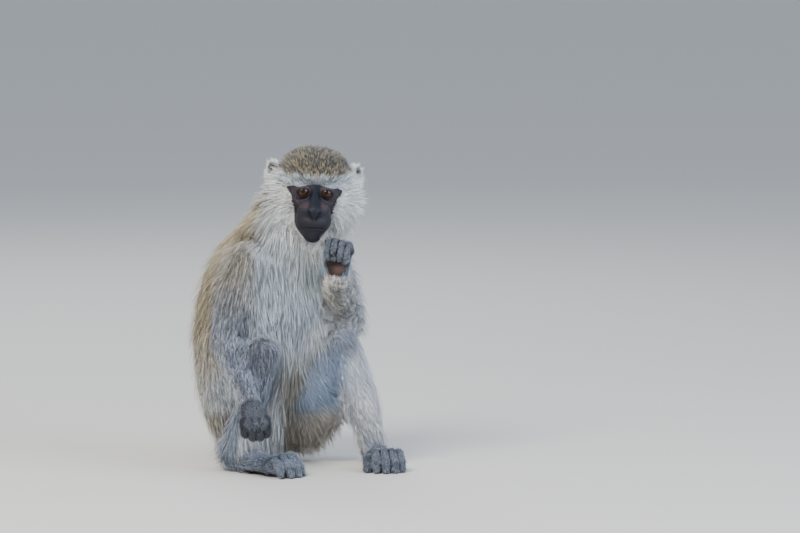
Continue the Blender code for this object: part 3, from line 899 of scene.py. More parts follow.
def skin_parts(grain):
    """The surfaces that the skin fuses: shell, head, ears, neck, the gap, wrists, ankles, digits."""
    gap = gap_middle()
    parts = [
        body_shell(grain), head_surface(), ear_surface(1), ear_surface(-1),
        swept_ball(from_head((0, 16, -10)), BONES["neck"][0], 31.0, 40.0),
        swept_ball(gap + (-8.0, -6.0, 2.0), gap + (3.0, -6.0, 5.0), 12.0, 11.0),
    ]
    for side in SIDES:
        for limb, end, radius, above in (("forearm", "hand", 8.8, 0.0), ("shin", "foot", 11.0, 16.0)):
            start, stop, thick = BONES[f"{limb}_{side}"]
            target = LIMB_ENDS[f"{end}_{side}"][2][0] + UP * above
            parts.append(swept_ball(start + (stop - start) * 0.62, target, 0.66 * thick, radius))
    for rows, digits, _ in LIMB_ENDS.values():
        parts += [swept_ball(*row) for row in rows + sum(digits, [])]
    return parts


def soften(skin):
    """Smooths the fused skin, least on its finer parts, and gives the share of those at each point."""
    points, edges = mesh_points(skin.data), mesh_edges(skin.data)
    fine = face_zone(to_head(points))
    for name in LIMB_ENDS:
        fine = np.maximum(fine, 0.9 * limb_end_zone(name, points))
    firm = relaxed(fine, edges, 3)[:, None]
    points = relaxed(points, edges, 2)
    for side in (1, -1):
        ear = ear_zone(side, points)
        firm = np.maximum(firm, ear[:, None])
        fine = np.maximum(fine, ear)
        points += ear[:, None] * (relaxed(points, edges, 4) - points)
    points += (relaxed(points, edges, 24) - points) * ramp(0.5 - firm, 0.0, 0.5)
    points[:, 2] = np.maximum(points[:, 2], SKIN_LOW)
    put_points(skin.data, points)
    return relaxed(fine, edges, 6)


def thin(skin, fine):
    """Takes faces out of the skin, by a weight that falls from 1 to 0.05 as the fine share rises."""
    plain = skin.vertex_groups.new(name="plain")
    for level in range(11):
        chosen = np.flatnonzero(np.round(fine * 10) == level)
        plain.add(chosen.tolist(), 1.0 - 0.095 * level, "REPLACE")
    fewer = skin.modifiers.new("thin", "DECIMATE")
    fewer.vertex_group = plain.name
    fewer.vertex_group_factor = 6.0
    fewer.ratio = THINNING
    shaped(skin)
    skin.vertex_groups.clear()


def make_skin(grain):
    """One closed skin: parts fused and softened, thinned where fur hides it, then finished zone by zone."""
    skin = fused(SKIN_NAME, skin_parts(grain), grain)
    thin(skin, soften(skin))
    for zone in (face_zone, feature_zone):
        finish_zone(
            skin, lambda points, zone=zone: zone(to_head(points)),
            lambda points: from_head(settle(to_head(points), head_form)), cuts=1,
        )
    for name in LIMB_ENDS:
        finish_zone(skin, partial(limb_end_zone, name), partial(settle, form=limb_end_form(name)), cuts=0)
    points, edges = mesh_points(skin.data), mesh_edges(skin.data)
    points += 0.5 * face_zone(to_head(points))[:, None] * (relaxed(points, edges, 2) - points)
    put_points(skin.data, points)
    skin.data.polygons.foreach_set("use_smooth", np.ones(len(skin.data.polygons), bool))
    return skin


def finish_zone(skin, zone, move, cuts, most=4.0):
    """Splits a zone's faces and moves its points to their form, by the zone's share and at most so far."""
    if cuts:
        subdivided(skin, zone(mesh_points(skin.data)) > 0.25, cuts)
    points = mesh_points(skin.data)
    share = zone(points)
    chosen = share > 0.01
    shift = move(points[chosen]) - points[chosen]
    length = np.linalg.norm(shift, axis=1, keepdims=True)
    shift *= np.minimum(1.0, most / np.maximum(length, 1e-6))
    points[chosen] += shift * share[chosen, None]
    put_points(skin.data, points)


# Eyes.

BULGE = 0.9    # height of the cornea over the eyeball
GAZE_RISE = math.radians(6)


def eye_surface(name, radius, iris, turn=72):
    """An eyeball round its gaze: radius + bulge exp(-1.6 (tilt / iris angle) squared) at a tilt from it."""
    centre = box_middle(name)
    gaze = unit(np.array([0.0, -math.cos(GAZE_RISE), math.sin(GAZE_RISE)]))
    side = unit(np.cross(gaze, UP))
    over = np.cross(side, gaze)
    tilt = np.concatenate([np.linspace(0.02, 1.1, 46), np.linspace(1.15, 3.08, 22)])
    spin = turn_angles(turn)
    limit = math.asin(iris / radius)
    size = radius + BULGE * np.exp(-(tilt / limit) ** 2 * 1.6)
    circle = np.outer(np.cos(spin), side) + np.outer(np.sin(spin), over)
    rings = centre + size[:, None, None] * (
        np.cos(tilt)[:, None, None] * gaze + np.sin(tilt)[:, None, None] * circle[None]
    )
    points, faces = closed_grid(rings, centre + gaze * (radius + BULGE), centre - gaze * radius)
    share = np.concatenate([[0.0], np.repeat(tilt / limit, turn), [3.1 / limit]])
    angle = np.concatenate([[0.0], np.tile(spin, len(tilt)), [0.0]])
    return points, outward(points, faces), share, np.column_stack([np.cos(angle), np.sin(angle), share])


def make_eye(name, settings):
    """An eyeball piece with its share of the iris and its turn round the gaze as attributes."""
    points, faces, share, turn = eye_surface(name, settings.radius / MM, settings.iris_radius / MM)
    piece = new_piece(name.replace("eye", "eyeball"), points, faces)
    put_attribute(piece.data, "iris_share", share)
    put_attribute(piece.data, "iris_turn", turn)
    return piece


# Nails.

def nail_surface(root, ahead, back, half_length, half_width, rows=7, turn=14):
    """A nail: an ellipsoid spun about its length, flattened to a third and bent down towards its tip."""
    side = unit(np.cross(ahead, back))
    tilt = np.linspace(0, math.pi, rows + 2)[1:-1]
    spin = turn_angles(turn)
    far = -np.cos(tilt)[:, None] * np.ones(turn)
    wide = np.sin(tilt)[:, None] * np.cos(spin)
    high = np.sin(tilt)[:, None] * np.sin(spin) * 0.34

    def place(far, wide, high):
        bend = -0.30 * far ** 2 - 0.35 * wide ** 2
        return root + ahead * far[..., None] * half_length + side * wide[..., None] * half_width + (
            back * (high + bend)[..., None] * half_width)

    ends = place(np.array([-1.0, 1.0]), np.zeros(2), np.zeros(2))
    points, faces = closed_grid(place(far, wide, high), ends[0], ends[1])
    return points, outward(points, faces)


def make_nails(name):
    """The five nails of a hand or foot, as one piece."""
    _, digits, (_, _, _, axis) = LIMB_ENDS[name]
    parts = []
    for digit in digits:
        start, end, _, radius = digit[-1]
        ahead = unit(end - start)
        back = -np.cross(axis, ahead)
        root = end + ahead * radius * 0.25 + back * radius * 0.80
        points, faces = nail_surface(root, ahead, back, radius * 1.0, radius * 0.66)
        points[:, 2] = np.maximum(points[:, 2], NAIL_LOW + 0.02 * (points[:, 2] - points[:, 2].min()))
        parts.append((points, faces))
    return new_piece(f"nails_{name}", *stacked(parts))


# Where the coat grows, how it lies and what colours it has, at each point of the skin.

TRUNK_TURN = math.radians(40)
FORWARD = unit(np.array([math.sin(TRUNK_TURN), -math.cos(TRUNK_TURN), 0.0]))    # the trunk's front


def slow_noise(points, size, seed):
    """Slow random values about 0: six sines along random directions, with wave lengths near a size."""
    random = np.random.default_rng(seed)
    total = np.zeros(len(points))
    for _ in range(6):
        wave = 2 * math.pi / (size * random.uniform(0.7, 1.5))
        total += np.sin(points @ unit(random.normal(size=3)) * wave + random.uniform(0, 2 * math.pi))
    return total / 6 ** 0.5


# Half width of the bare mask at heights from the chin up: full at the muzzle and widest at the eyes.
MASK_HEIGHTS = (-60.0, -55.0, -44.0, -34.0, -24.0, -14.0, -9.0, -5.0, 0.0, 4.0, 6.5, 8.0, 10.5, 12.6)
MASK_WIDTHS = (-4.0, 10.0, 17.0, 20.5, 21.5, 21.5, 22.5, 24.5, 28.5, 31.5, 28.0, 23.0, 15.0, -4.0)
# Height of the crown's lower edge from the brow back to the nape.
CROWN_DEPTHS, CROWN_EDGES = (-30.0, 0.0, 20.0, 40.0), (16.5, 17.0, 4.0, -22.0)


def head_marks(head_points):
    """Shares of the head's parts, in its own axes: bare face, brow, crown, ruff and throat."""
    x, y, z = np.abs(head_points[:, 0]), head_points[:, 1], head_points[:, 2]
    wander = slow_noise(head_points, 11.0, 3)
    ragged = 0.7 * wander + 0.5 * slow_noise(head_points, 4.5, 4)
    face = ramp(np.interp(z, MASK_HEIGHTS, MASK_WIDTHS) - x + ragged, -0.8, 1.8) * ramp(-y, 12.0, 18.0)
    face = np.maximum(face, ramp(-y, 29.0, 34.0) * ramp(z, -61.0, -57.0) * ramp(2.0 - z, 0.0, 4.0))
    edge = np.interp(y, CROWN_DEPTHS, CROWN_EDGES) + 1.2 * wander
    crown = ramp(z - edge, -3.0, 4.0) * ramp(42.0 - x, 0.0, 5.0)
    brow = ramp(-y, 8.0, 18.0) * ramp(z, 6.0, 10.0) * (1 - crown)
    ruff = ramp(x, 18.0, 32.0) * ramp(y, -32.0, -12.0) * (1 - crown)
    return dict(face=face, brow=brow, crown=crown, ruff=ruff, throat=ramp(-z, 28.0, 44.0) * (1 - face))


def refined_shares(points, head_points):
    """The regions' shares, with the head's front and each hand and foot given to their own finer forms."""
    shares = region_shares(points)
    on_head = ramp(3.0 - head_form(head_points, fine=False), 0.0, 2.0) * ramp(-head_points[:, 1], 8.0, 20.0)
    shares = shares * (1 - on_head)
    shares[REGIONS.index("head")] += on_head
    for name in LIMB_ENDS:
        on_end = limb_end_zone(name, points) * (1 - on_head)
        shares = shares * (1 - on_end)
        shares[REGIONS.index(name)] += on_end
    # The trunk's share close to the right knee goes to the thigh.
    moved = close_to(points - BONES["thigh_right"][1], UP * 16.0, 36.0, 10.0) * shares[REGIONS.index("trunk")]
    shares[REGIONS.index("trunk")] -= moved
    shares[REGIONS.index("thigh_right")] += moved
    return shares


def raise_to(state, **values):
    """Raises arrays of the state to at least the values."""
    for key, value in values.items():
        state[key] = np.maximum(state[key], value)


def limb_end_lie(region, share, state):
    """The lie on a hand or foot; its digits, creases and bare palm or sole go into the state."""
    points, direction, back, out, digit, crease = state["points"], *nearest_bone(region, state["points"])
    crease = crease * digit * share
    origin, ahead, _, axis = LIMB_ENDS[region][2]
    along, wide = (points - origin) @ ahead, np.abs((points - origin) @ axis)
    below = -dot(state["broad"], back)
    palm = ramp(below, 0.05, 0.45) * share * ramp(8.0 + 0.5 * along - wide, 0.0, 3.0)
    if region.startswith("foot"):
        palm *= ramp(9.0 - points[:, 2], 0.0, 4.0) * ramp(below, 0.4, 0.7)
    last_bones = share * digit * ramp(out, 0.5, 0.9)
    state["digit"] += share * digit
    raise_to(state, palm=palm, crease=crease)
    raise_to(state, naked=np.maximum(np.maximum(palm, last_bones), ramp(crease, 0.3, 0.8)))
    return direction


def head_lie(head_points, crown):
    """The lie on the head in its own axes: away from the nose, down the nape, and back under the chin."""
    away = unit(head_points - (0.0, -40.0, -6.0))
    low = ramp(-head_points[:, 2], 26.0, 40.0)
    away[:, 2] -= 1.5 * ramp(head_points[:, 1], 2.0, 34.0) + 0.9 * low
    away[:, 1] += 0.5 * crown + 1.8 * low
    return unit(away)


def body_lie(region):
    """The lie elsewhere: down on neck and trunk, half along and half down a thigh, along other limbs."""
    start, end, _ = BONES[region]
    if region in ("neck", "trunk"):
        return -UP - (0.12 if region == "trunk" else 0.0) * FORWARD
    if region.startswith("thigh"):
        return unit(0.45 * unit(end - start) - 0.65 * UP)
    return unit(end - start)


def ear_lie(side, lie, state):
    """The lie with one ear's put in, across the dish and up; the ear's parts go into the state."""
    ear = ear_zone(side, state["points"])
    place, axes = ear_frame(side)
    across, tall, _ = ((state["points"] - place) @ axes.T).T
    hollow = ear * ramp(dot(state["normals"], axes[2]), 0.0, 0.6)
    hollow *= 0.35 + 0.65 * ramp(1.0 - np.hypot(across / 7.0, (tall - 4.0) / 9.0), 0.0, 0.35)
    by_ear = close_to(to_head(state["points"]), (41.0 * side, 1.0, 17.0), 20.0, 9.0)
    by_ear = by_ear * (1 - ear) * state["head"]
    raise_to(state, naked=hollow, hollow=hollow, ear=ear, by_ear=by_ear)
    return lie + ear[:, None] * (axes[1] * 0.6 + axes[0] * 0.8 - lie)


def combed(lie, state):
    """The lie laid along the skin and evened out, then swirled a little by slow noise."""
    points, broad = state["points"], state["broad"]
    lie = unit(flat_on(relaxed(flat_on(lie, broad), state["edges"], 30), broad))
    swirl = (0.16 * slow_noise(points, 46.0, 11) + 0.10 * slow_noise(points, 19.0, 12))[:, None]
    return unit(lie * np.cos(swirl) + np.cross(lie, broad) * np.sin(swirl))


def skin_state(skin):
    """Arrays over the skin's points that the skin's colours and the coat both read."""
    points, edges, faces = mesh_points(skin.data), mesh_edges(skin.data), mesh_triangles(skin.data)
    normals = point_normals(points, faces)
    head_points = to_head(points)
    shares = refined_shares(points, head_points)
    head = share_of(shares, "head")
    marks = head_marks(head_points)
    state = dict(points=points, edges=edges, faces=faces, normals=normals, shares=shares, head=head)
    state["broad"] = unit(relaxed(normals, edges, 8))
    state.update((key, mark * head) for key, mark in marks.items())
    state.update(
        (key, np.zeros(len(points))) for key in ("digit", "crease", "palm", "hollow", "ear", "by_ear"))
    state["naked"] = state["face"].copy()
    lie = np.zeros_like(points)
    for share, region in zip(shares, REGIONS):
        if region in LIMB_ENDS:
            lie += share[:, None] * limb_end_lie(region, share, state)
        elif region == "head":
            lie += share[:, None] * head_lie(head_points, marks["crown"]) @ HEAD_AXES
        else:
            lie += share[:, None] * body_lie(region)
    for side in (1, -1):
        lie = ear_lie(side, lie, state)
    state["lie"] = combed(lie, state)
    state["gap"] = close_to(points[:, [0, 2]], gap_middle()[[0, 2]], 26.0, 10.0) * (
        1 - share_of(shares, "forearm", "shin") - 0.9 * share_of(shares, "thigh"))
    return state


# Limbs with longer hair behind: how much longer, and from where to where they face back or down.
HANGING = (("shin", 4.5, 0.1, 0.5), ("forearm", 5.0, -0.2, 0.2), ("thigh", 17.0, 0.3, 0.7))


def hanging_parts(state):
    """Longer hair on the backs of shins, forearms and thighs: share, longer and further out."""
    for kind, more, low, high in HANGING:
        behind = ramp(dot(state["broad"], -FORWARD) if kind == "shin" else -state["broad"][:, 2], low, high)
        for region_share, region in zip(state["shares"], REGIONS):
            if region.startswith(kind):
                share, _ = along_bone(state["points"], *BONES[region][:2])
                yield region_share * behind, more * ramp(share, 0.0, 0.2) * ramp(1 - share, 0.0, 0.2), 6.0


def coat_sizes(state):
    """Length, lift, width and cover of the coat at each point: the plan and finer parts."""
    points, shares, broad, head = (state[key] for key in ("points", "shares", "broad", "head"))
    crown, brow, ruff, throat, ear = (state[key] for key in ("crown", "brow", "ruff", "throat", "ear"))
    length, lift, width, cover = (
        sum(share * plan_of(region)[column] for share, region in zip(shares, REGIONS))
        for column in (1, 2, 3, 4)
    )
    x, y, z = to_head(points).T
    x = np.abs(x)
    low_cheek = ruff * ramp(-z, -8.0, 22.0)
    crown_side = crown * ramp(x, 10.0, 20.0) * ramp(38.0 - x, 0.0, 8.0)
    temple = head * ramp(x, 24.0, 34.0) * ramp(z, 0.0, 12.0) * ramp(y, -26.0, -12.0) * ramp(
        14.0 - y, 0.0, 8.0)
    near_face = head * ramp(relaxed(state["face"], state["edges"], 12), 0.04, 0.30)
    nape = ramp(100.0 - along_bone(points, *BONES["neck"][:2])[1], 0.0, 30.0) * ramp(
        dot(broad, -FORWARD), -0.2, 0.4) * share_of(shares, "neck", "trunk", "upper_arm")
    ankle = close_to(points - LIMB_ENDS["foot_right"][2][0], UP * 30.0, 54.0, 22.0) * (1 - state["digit"])
    left_arm = ramp(broad[:, 0], 0.2, 0.8) * share_of(shares, "forearm_left", "upper_arm_left")
    # Each part's share, how much longer its hair is in millimetres, and how much further out in degrees.
    for share, longer, further in (
        (crown_side, 3.0, 6.0),
        (temple, 3.0, 8.0),
        (head, -4.0 * crown - 1.0 * brow + 9.0 * ruff + 7.0 * low_cheek + 7.0 * throat,
         13.0 * crown + 5.0 * brow + 13.0 * ruff + 4.0 * low_cheek - 3.0 * throat),
        (near_face, -4.5, 0.0),
        *hanging_parts(state),
        (state["gap"], 5.0, 10.0),
        (state["by_ear"], -6.0, 4.0),
        (nape, 9.0, 17.0),
        (ankle, 8.0, 12.0),
        (left_arm, 6.0, 9.0),
    ):
        length += share * longer
        lift += share * further
    width += head * (0.08 * ruff + 0.06 * throat)
    length *= 1 - 0.45 * state["digit"]
    lift *= 1 - 0.5 * near_face
    length, lift = length + ear * (8.0 - length), lift + ear * (34.0 - lift)
    width = width + ear * (0.42 - width)
    state["near_face"] = near_face
    return length, lift, width, cover * (1 - state["naked"])


# Middles of a knee's dark cap, of the painted shade in its fold where the forearm lies on it, and of the
# painted shade along its top, from the knee's own.
KNEE_CAP, KNEE_FOLD_SHADE, KNEE_TOP_SHADE = (0.0, -14.0, 28.0), (-4.0, -20.0, 24.0), (6.0, -14.0, 37.0)


def blend(base, tint, share):
    """Colours moved towards a tint by a share at each point."""
    share = np.clip(np.broadcast_to(share, len(base)), 0.0, 1.0)[:, None]
    return base + (np.asarray(tint) - base) * share


def layered(base, *layers):
    """A colour, or one for each point, with tints laid over it in turn, each by its share."""
    if np.ndim(base) == 1:
        base = np.tile(base, (max(np.size(share) for _, share in layers), 1))
    for tint, share in layers:
        base = blend(base, tint, share)
    return base


def tones(settings):
    """The colours of a group of settings by name, as arrays."""
    names = [name for name, field in settings.bl_rna.properties.items() if getattr(field, "is_array", False)]
    return SimpleNamespace(**{name: np.array(getattr(settings, name)[:]) for name in names})


def trunk_colours(state, tint, facing):
    """The trunk: tan behind, pale in front and dusky below, with a darker groin that is partly its own dusky
    buff and partly painted shade between belly and thigh; with how grizzled it is.
    """
    x, _, z = state["points"].T
    groin = ramp(14.0 - np.abs(x - 50.0), 0.0, 9.0) * ramp(138.0 - z, 0.0, 30.0) * ramp(facing, 0.1, 0.4)
    return layered(
        tint.tan,
        (0.5 * tint.grey + 0.5 * tint.tan, ramp(facing, -0.15, 0.15)),
        (tint.chest, ramp(facing, 0.10, 0.50)),
        (tint.white, state["gap"]),
        (tint.cream, 0.70 * ramp(0.85 + facing, 0.0, 0.5) * ramp(180.0 - z, 0.0, 70.0)),
        (tint.dusk, 0.65 * ramp(-facing, 0.3, 0.6) * ramp(60.0 - z, 0.0, 50.0)),
        (tint.dusk, 0.70 * ramp(facing, 0.3, 0.6) * ramp(80.0 - z, 0.0, 40.0) * ramp(x, 34.0, 44.0)),
        (tint.white, 0.8 * ramp(facing, 0.2, 0.5) * ramp(44.0 - x, 0.0, 9.0) * ramp(125.0 - z, 0.0, 30.0)),
        # The groin: its own dusky buff, darkened as painted shade in the fold between belly and thigh.
        (0.72 * tint.dusk, 0.60 * groin),
    ), 0.5 * groin + 0.60 * ramp(-facing, -0.35, -0.05) * (1 - 0.5 * ramp(150.0 - z, 0.0, 70.0))


def head_colours(state, tint):
    """The head: cream, with a pale brow, an olive crown, dark hairs over the eyes and at the mask's edge, and
    painted light beside the ears, paler fur against the shade of the hollow between ear and crown.
    """
    x, y, z = to_head(state["points"]).T
    whole = np.maximum(state["head"], 0.01)
    over_eyes = ramp(2.2 - np.abs(z - 12.8), 0.0, 1.4) * ramp(25.0 - np.abs(x), 0.0, 6.0) * ramp(
        -y, 14.0, 20.0)
    return layered(
        tint.cream,
        (tint.chest, state["brow"] / whole),
        (tint.olive, state["crown"] / whole),
        # Painted light: paler fur beside the ears, against the shade of the hollow between ear and crown.
        (tint.white, 0.6 * state["by_ear"] * (1 - state["crown"])),
        (tint.dark, 0.65 * over_eyes),
        (tint.dark, 0.5 * ramp(relaxed(state["face"], state["edges"], 5), 0.15, 0.6)),
    ), 0.06 + 0.86 * np.clip(state["crown"] / whole, 0, 1) + 0.85 * state["brow"]


def tail_colours(region, state, tint, inward):
    """The tail: grey and tan, dark towards its tip."""
    share, away = along_bone(state["points"], *BONES["tail_tip"][:2])
    tip = ramp(share, 0.1, 0.8) * ramp(24.0 - away, 0.0, 6.0)
    return layered(tint.grey, (tint.tan, 0.35), (tint.dark, 0.92 * tip)), 0.6


def end_colours(region, state, tint, inward):
    """A hand or foot: pepper, greyer on feet and digits, darker on the right hand, with painted shade between
    the digits; the digits' paler grey is partly a painted highlight on their tops.
    """
    digit = state["digit"]
    layers = [(tint.grey, 0.45 * (1 - digit) * region.startswith("foot"))]
    if region == "hand_right":
        layers.append((tint.dark, 0.35 + 0.40 * digit))
    else:
        darker = {"hand_left": 0.25, "foot_left": 0.15, "foot_right": 0.0}[region]
        # Paler digits: partly their own lighter hair, partly a painted highlight on their tops.
        layers += [(tint.grey, 0.35 * digit), (tint.dark, darker)]
    rough = 0.45 - 0.25 * digit * (region == "hand_right")
    # Painted shade in the creases between the digits.
    return layered(tint.pepper, *layers, (tint.dark, 0.85 * state["crease"])), rough


def arm_colours(region, state, tint, inward):
    """An arm: tan from the shoulder, the left one paler, the right one's forearm darker down to the wrist."""
    side, left = state["broad"][:, 0], region.endswith("left")
    along, _ = along_bone(state["points"], *BONES[region][:2])
    inner = ramp(inward, 0.0, 0.6) * (0.6 if left else 0.0)
    at_shoulder = (tint.tan, 0.60 * (1 - inner) * ramp(1 - along, 0.2, 0.9))
    layers = {
        "upper_arm_left": (at_shoulder, (tint.white, 0.5 * ramp(side, 0.5, 0.9))),
        "upper_arm_right": (at_shoulder,),
        "forearm_left": ((tint.tan, 0.55), (tint.white, 0.12 + 0.70 * ramp(side, 0.3, 0.8))),
        "forearm_right": (
            (tint.pepper, 0.8 * ramp(along, 0.55, 1.0)), (tint.pepper, 0.35 * ramp(0.8 + side, 0.0, 0.5)),
            (tint.white, 0.45 * ramp(-0.35 - side, 0.0, 0.4))),
    }[region]
    return layered(tint.grey, (tint.white, inner), *layers), 0.65 * (1 - inner) * (0.85 if left else 1.0)


def thigh_colours(region, state, tint, inward):
    """A thigh: a dark cap on the knee, dusky below; the left one pale blue inside, the right one with painted
    shade in the fold and along the top of its knee, where the forearm lies.
    """
    points, broad, knee = state["points"], state["broad"], BONES[region][1]
    front, left = dot(broad, FORWARD), region == "thigh_left"
    cap = close_to(points - knee, KNEE_CAP, 24.0, 11.0)
    inner = np.maximum((1.0 if left else 0.2) * ramp(inward, 0.0, 0.6), 0.6 * ramp(-broad[:, 2], 0.2, 0.7))
    if left:
        inside = ramp(front, -0.2, 0.4)
        layers = (
            (tint.white, 0.5 * ramp(broad[:, 0], 0.5, 0.9)), (tint.pale_blue, 0.85 * inside),
            (tint.white, 0.65 * inside * ramp(points[:, 0], 101.0, 113.0)))
        plain = inside
    else:
        rear = ramp(front, 0.4, -0.2)
        # Painted shade in the crevice under the forearm and along the knee's top beside it.
        fold = close_to((points - knee - KNEE_FOLD_SHADE) * (1.0, 0.6, 0.40), 0.0, 9.5, 5.0)
        top = close_to(points - knee, KNEE_TOP_SHADE, 14.0, 8.0)
        layers = (
            (tint.pepper, 0.45 * ramp(front, 0.2, 0.7)), (tint.cream, 0.60 * rear),
            (tint.dark, np.maximum(0.85 * fold, 0.40 * top)))
        plain = np.maximum(0.7 * rear, 0.8 * fold)
    low = ramp(78.0 - points[:, 2], 0.0, 20.0)
    colours = layered(
        tint.grey, (tint.white, inner), *layers, (tint.pepper, 0.75 * cap), (0.82 * tint.dusk, 0.75 * low))
    return colours, 0.65 * (1 - np.maximum(inner, plain)) + 0.3 * cap


def shin_colours(region, state, tint, inward):
    """A shin: white in front and inside, pale blue under the knee."""
    along, _ = along_bone(state["points"], *BONES[region][:2])
    front = 0.9 * ramp(dot(state["broad"], FORWARD) + 0.5 * state["broad"][:, 0], -0.3, 0.4)
    inner = np.maximum(ramp(inward, 0.0, 0.6), front)
    colours = layered(tint.grey, (tint.white, inner), (tint.pale_blue, 0.5 * ramp(0.6 - along, 0.0, 0.5)))
    return colours, 0.65 * (1 - inner)


LIMB_COLOURS = {
    "tail": tail_colours, "hand": end_colours, "foot": end_colours, "upper": arm_colours,
    "forearm": arm_colours, "thigh": thigh_colours, "shin": shin_colours,
}


def coat_colours(state, settings):
    """The coat's colour and how grizzled it is at each point: the one set of markings of skin and coat."""
    points, broad = state["points"], state["broad"]
    tint = tones(settings)
    start, end, _ = BONES["trunk"]
    share, _ = along_bone(points, start, end)
    round_trunk = points - start - share[:, None] * (end - start)
    round_trunk[:, 2] = 0.0
    facing = 0.5 * dot(unit(round_trunk), FORWARD) + 0.5 * dot(broad, FORWARD)
    facing += 0.05 * slow_noise(points, 30.0, 21)
    inward = dot(broad, unit(np.where(np.abs(round_trunk) > 0, -round_trunk, FORWARD)))
    trunk, grizzled = trunk_colours(state, tint, facing)
    front = ramp(facing, -0.25, 0.25)
    body = {
        "trunk": (trunk, grizzled), "neck": (blend(trunk, tint.cream, front), grizzled * (1 - front)),
        "head": head_colours(state, tint),
    }
    total, grizzle = np.zeros_like(points), np.zeros(len(points))
    for share, region in zip(state["shares"], REGIONS):
        row, rough = body.get(region) or LIMB_COLOURS[region.split("_")[0]](region, state, tint, inward)
        total += share[:, None] * row
        grizzle += share * rough
    total *= (1 + 0.06 * slow_noise(points, 24.0, 31))[:, None]
    total = layered(
        total, (tint.white, np.maximum(0.7 * state["ear"], 0.8 * state["gap"])),
        (tint.dark, 0.9 * ramp(relaxed(state["hollow"], state["edges"], 2), 0.3, 0.7)))
    return np.clip(total, 0, 1), grizzle


def bare_colours(state, settings):
    """The bare skin: black face with browner lids and muzzle, dark palms with a pale spot on the heel; the
    nostrils near black and the creases between the digits darker, as painted shade.
    """
    x, y, z = to_head(state["points"]).T
    x = np.abs(x)
    tint = tones(settings)
    off_x, off_z = x - EYE_PLACE[0], z - EYE_PLACE[2]
    eye, rim = np.sqrt(off_x ** 2 + (off_z + 2.0) ** 2), np.sqrt(off_x ** 2 + (1.35 * off_z) ** 2)
    pad = ramp(7.4 + 0.50 * (z + 12.0) - x, 0.0, 1.0) * ramp(z, -23.0, -21.0) * ramp(-7.0 - z, 0.0, 3.0)
    nostril = bone(np.column_stack([x, y, z]), (6.4, -62.0, -12.8), (2.3, -64.0, -20.8), 1.1, 0.7)
    mouth = ramp(1.0 - np.abs(mouth_height(x, z)), 0.0, 0.7) * ramp(-y, 36.0, 42.0)
    wrist, ahead, _, _ = LIMB_ENDS["hand_left"][2]
    return layered(
        tint.face,
        (tint.bridge, ramp(14.0 - x, 0.0, 8.0) * ramp(z, -26.0, -10.0)),
        (tint.lids, ramp(eye, 5.0, 7.0) * ramp(15.0 - eye, 0.0, 5.0) * ramp(x, 5.0, 9.0)),
        (tint.bridge * 0.45, ramp(8.6 - rim, 0.0, 1.4)),
        (tint.bridge * 1.4, 0.8 * pad * ramp(-y, 50.0, 55.0)),
        # Painted shade: the nostrils' openings near black.
        (tint.bridge * 0.2, ramp(0.9 - nostril, 0.0, 0.9)),
        (tint.bridge * 0.40, 0.6 * mouth),
        (tint.bridge * 0.9, 0.85 * state["digit"]),
        # Painted shade in the creases between the digits.
        (tint.bridge * 0.3, state["crease"]),
        (tint.palm, state["palm"]),
        (tint.heel, 0.75 * close_to(state["points"] - wrist, ahead * 9.0, 12.5, 5.0) * state["palm"]),
    )


def skin_colours(state, settings, coat_settings):
    """The skin's colour, bare or under fur, and how far it is ticked like the coat over it. Under fur it is
    the coat's colour darkened as painted shade of the tufts, more on hands and feet and under grizzled fur,
    whose hairs are also dark at their bases.
    """
    furred, grizzle = coat_colours(state, coat_settings)
    grizzle = np.minimum(grizzle, 1.0)
    bare = bare_colours(state, settings)
    # Painted shade under the tufts: the coat's colour darkened, more on hands and feet and under grizzled
    # hair, partly for its dark bases.
    under = 0.78 - 0.36 * grizzle - 0.22 * share_of(state["shares"], "hand", "foot")
    dark = np.maximum(state["naked"], ramp(relaxed(state["face"], state["edges"], 10), 0.04, 0.35))
    tint = blend(furred * under[:, None], bare, dark)
    on_ear = state["ear"] > 0.5
    tint[on_ear] = blend(tint, bare * 0.6, state["naked"])[on_ear]
    return tint, (0.25 + 0.75 * grizzle) * (1 - dark)


# The coat: tufts that are thin closed spindles.

# piece: slot, the regions whose roots it holds, and the most triangles it may have
COATS = {
    "coat_head": ("head_coat", ("head",), 198000),
    "coat_ruff": ("head_coat", ("neck",), 90000),
    "coat_back": ("back_coat", ("trunk",), 186000),
    "coat_chest": ("back_coat", ("trunk",), 198000),
    "coat_arm_left": ("limb_coat", ("upper_arm_left", "forearm_left", "hand_left"), 160000),
    "coat_arm_right": ("limb_coat", ("upper_arm_right", "forearm_right", "hand_right"), 170000),
    "coat_thighs": ("limb_coat", ("thigh",), 190000),
    "coat_shins": ("limb_coat", ("shin", "foot"), 198000),
    "coat_tail": ("tail_coat", ("tail",), 110000),
}
# Rings of three in a tuft, as shares of the way along and of the width, if under SHORT and if longer.
SHORT, SHORT_ROWS, LONG_ROWS = 27.0, ((0.40, 1.0),), ((0.24, 0.95), (0.62, 0.70))
LONGEST, STEEPEST = 36.0, math.radians(55)
ROOT_DEPTH, HALF_PATCH = 0.6, 0.0014    # of a tuft's foot under the skin, and of its patch on the unwrap


def scatter(state, cover, length, width, fullness, random):
    """Roots over the skin: even steps along the summed area times cover over a tuft's, then at random."""
    points, faces = state["points"], state["faces"]
    a, b, c = (points[faces[:, k]] for k in range(3))
    area = 0.5 * np.linalg.norm(np.cross(b - a, c - a), axis=1)
    want = (cover / np.maximum(length * width, 1.0))[faces].mean(1)
    total = np.cumsum(area * want)
    count = int(total[-1] * fullness)
    chosen = np.searchsorted(total, (np.arange(count) + random.random(count)) * total[-1] / count)
    chosen = np.minimum(chosen, len(faces) - 1)
    first, second = random.random(count), random.random(count)
    fold = first + second > 1
    first, second = np.where(fold, 1 - first, first), np.where(fold, 1 - second, second)
    return faces[chosen], np.column_stack([1 - first - second, first, second])


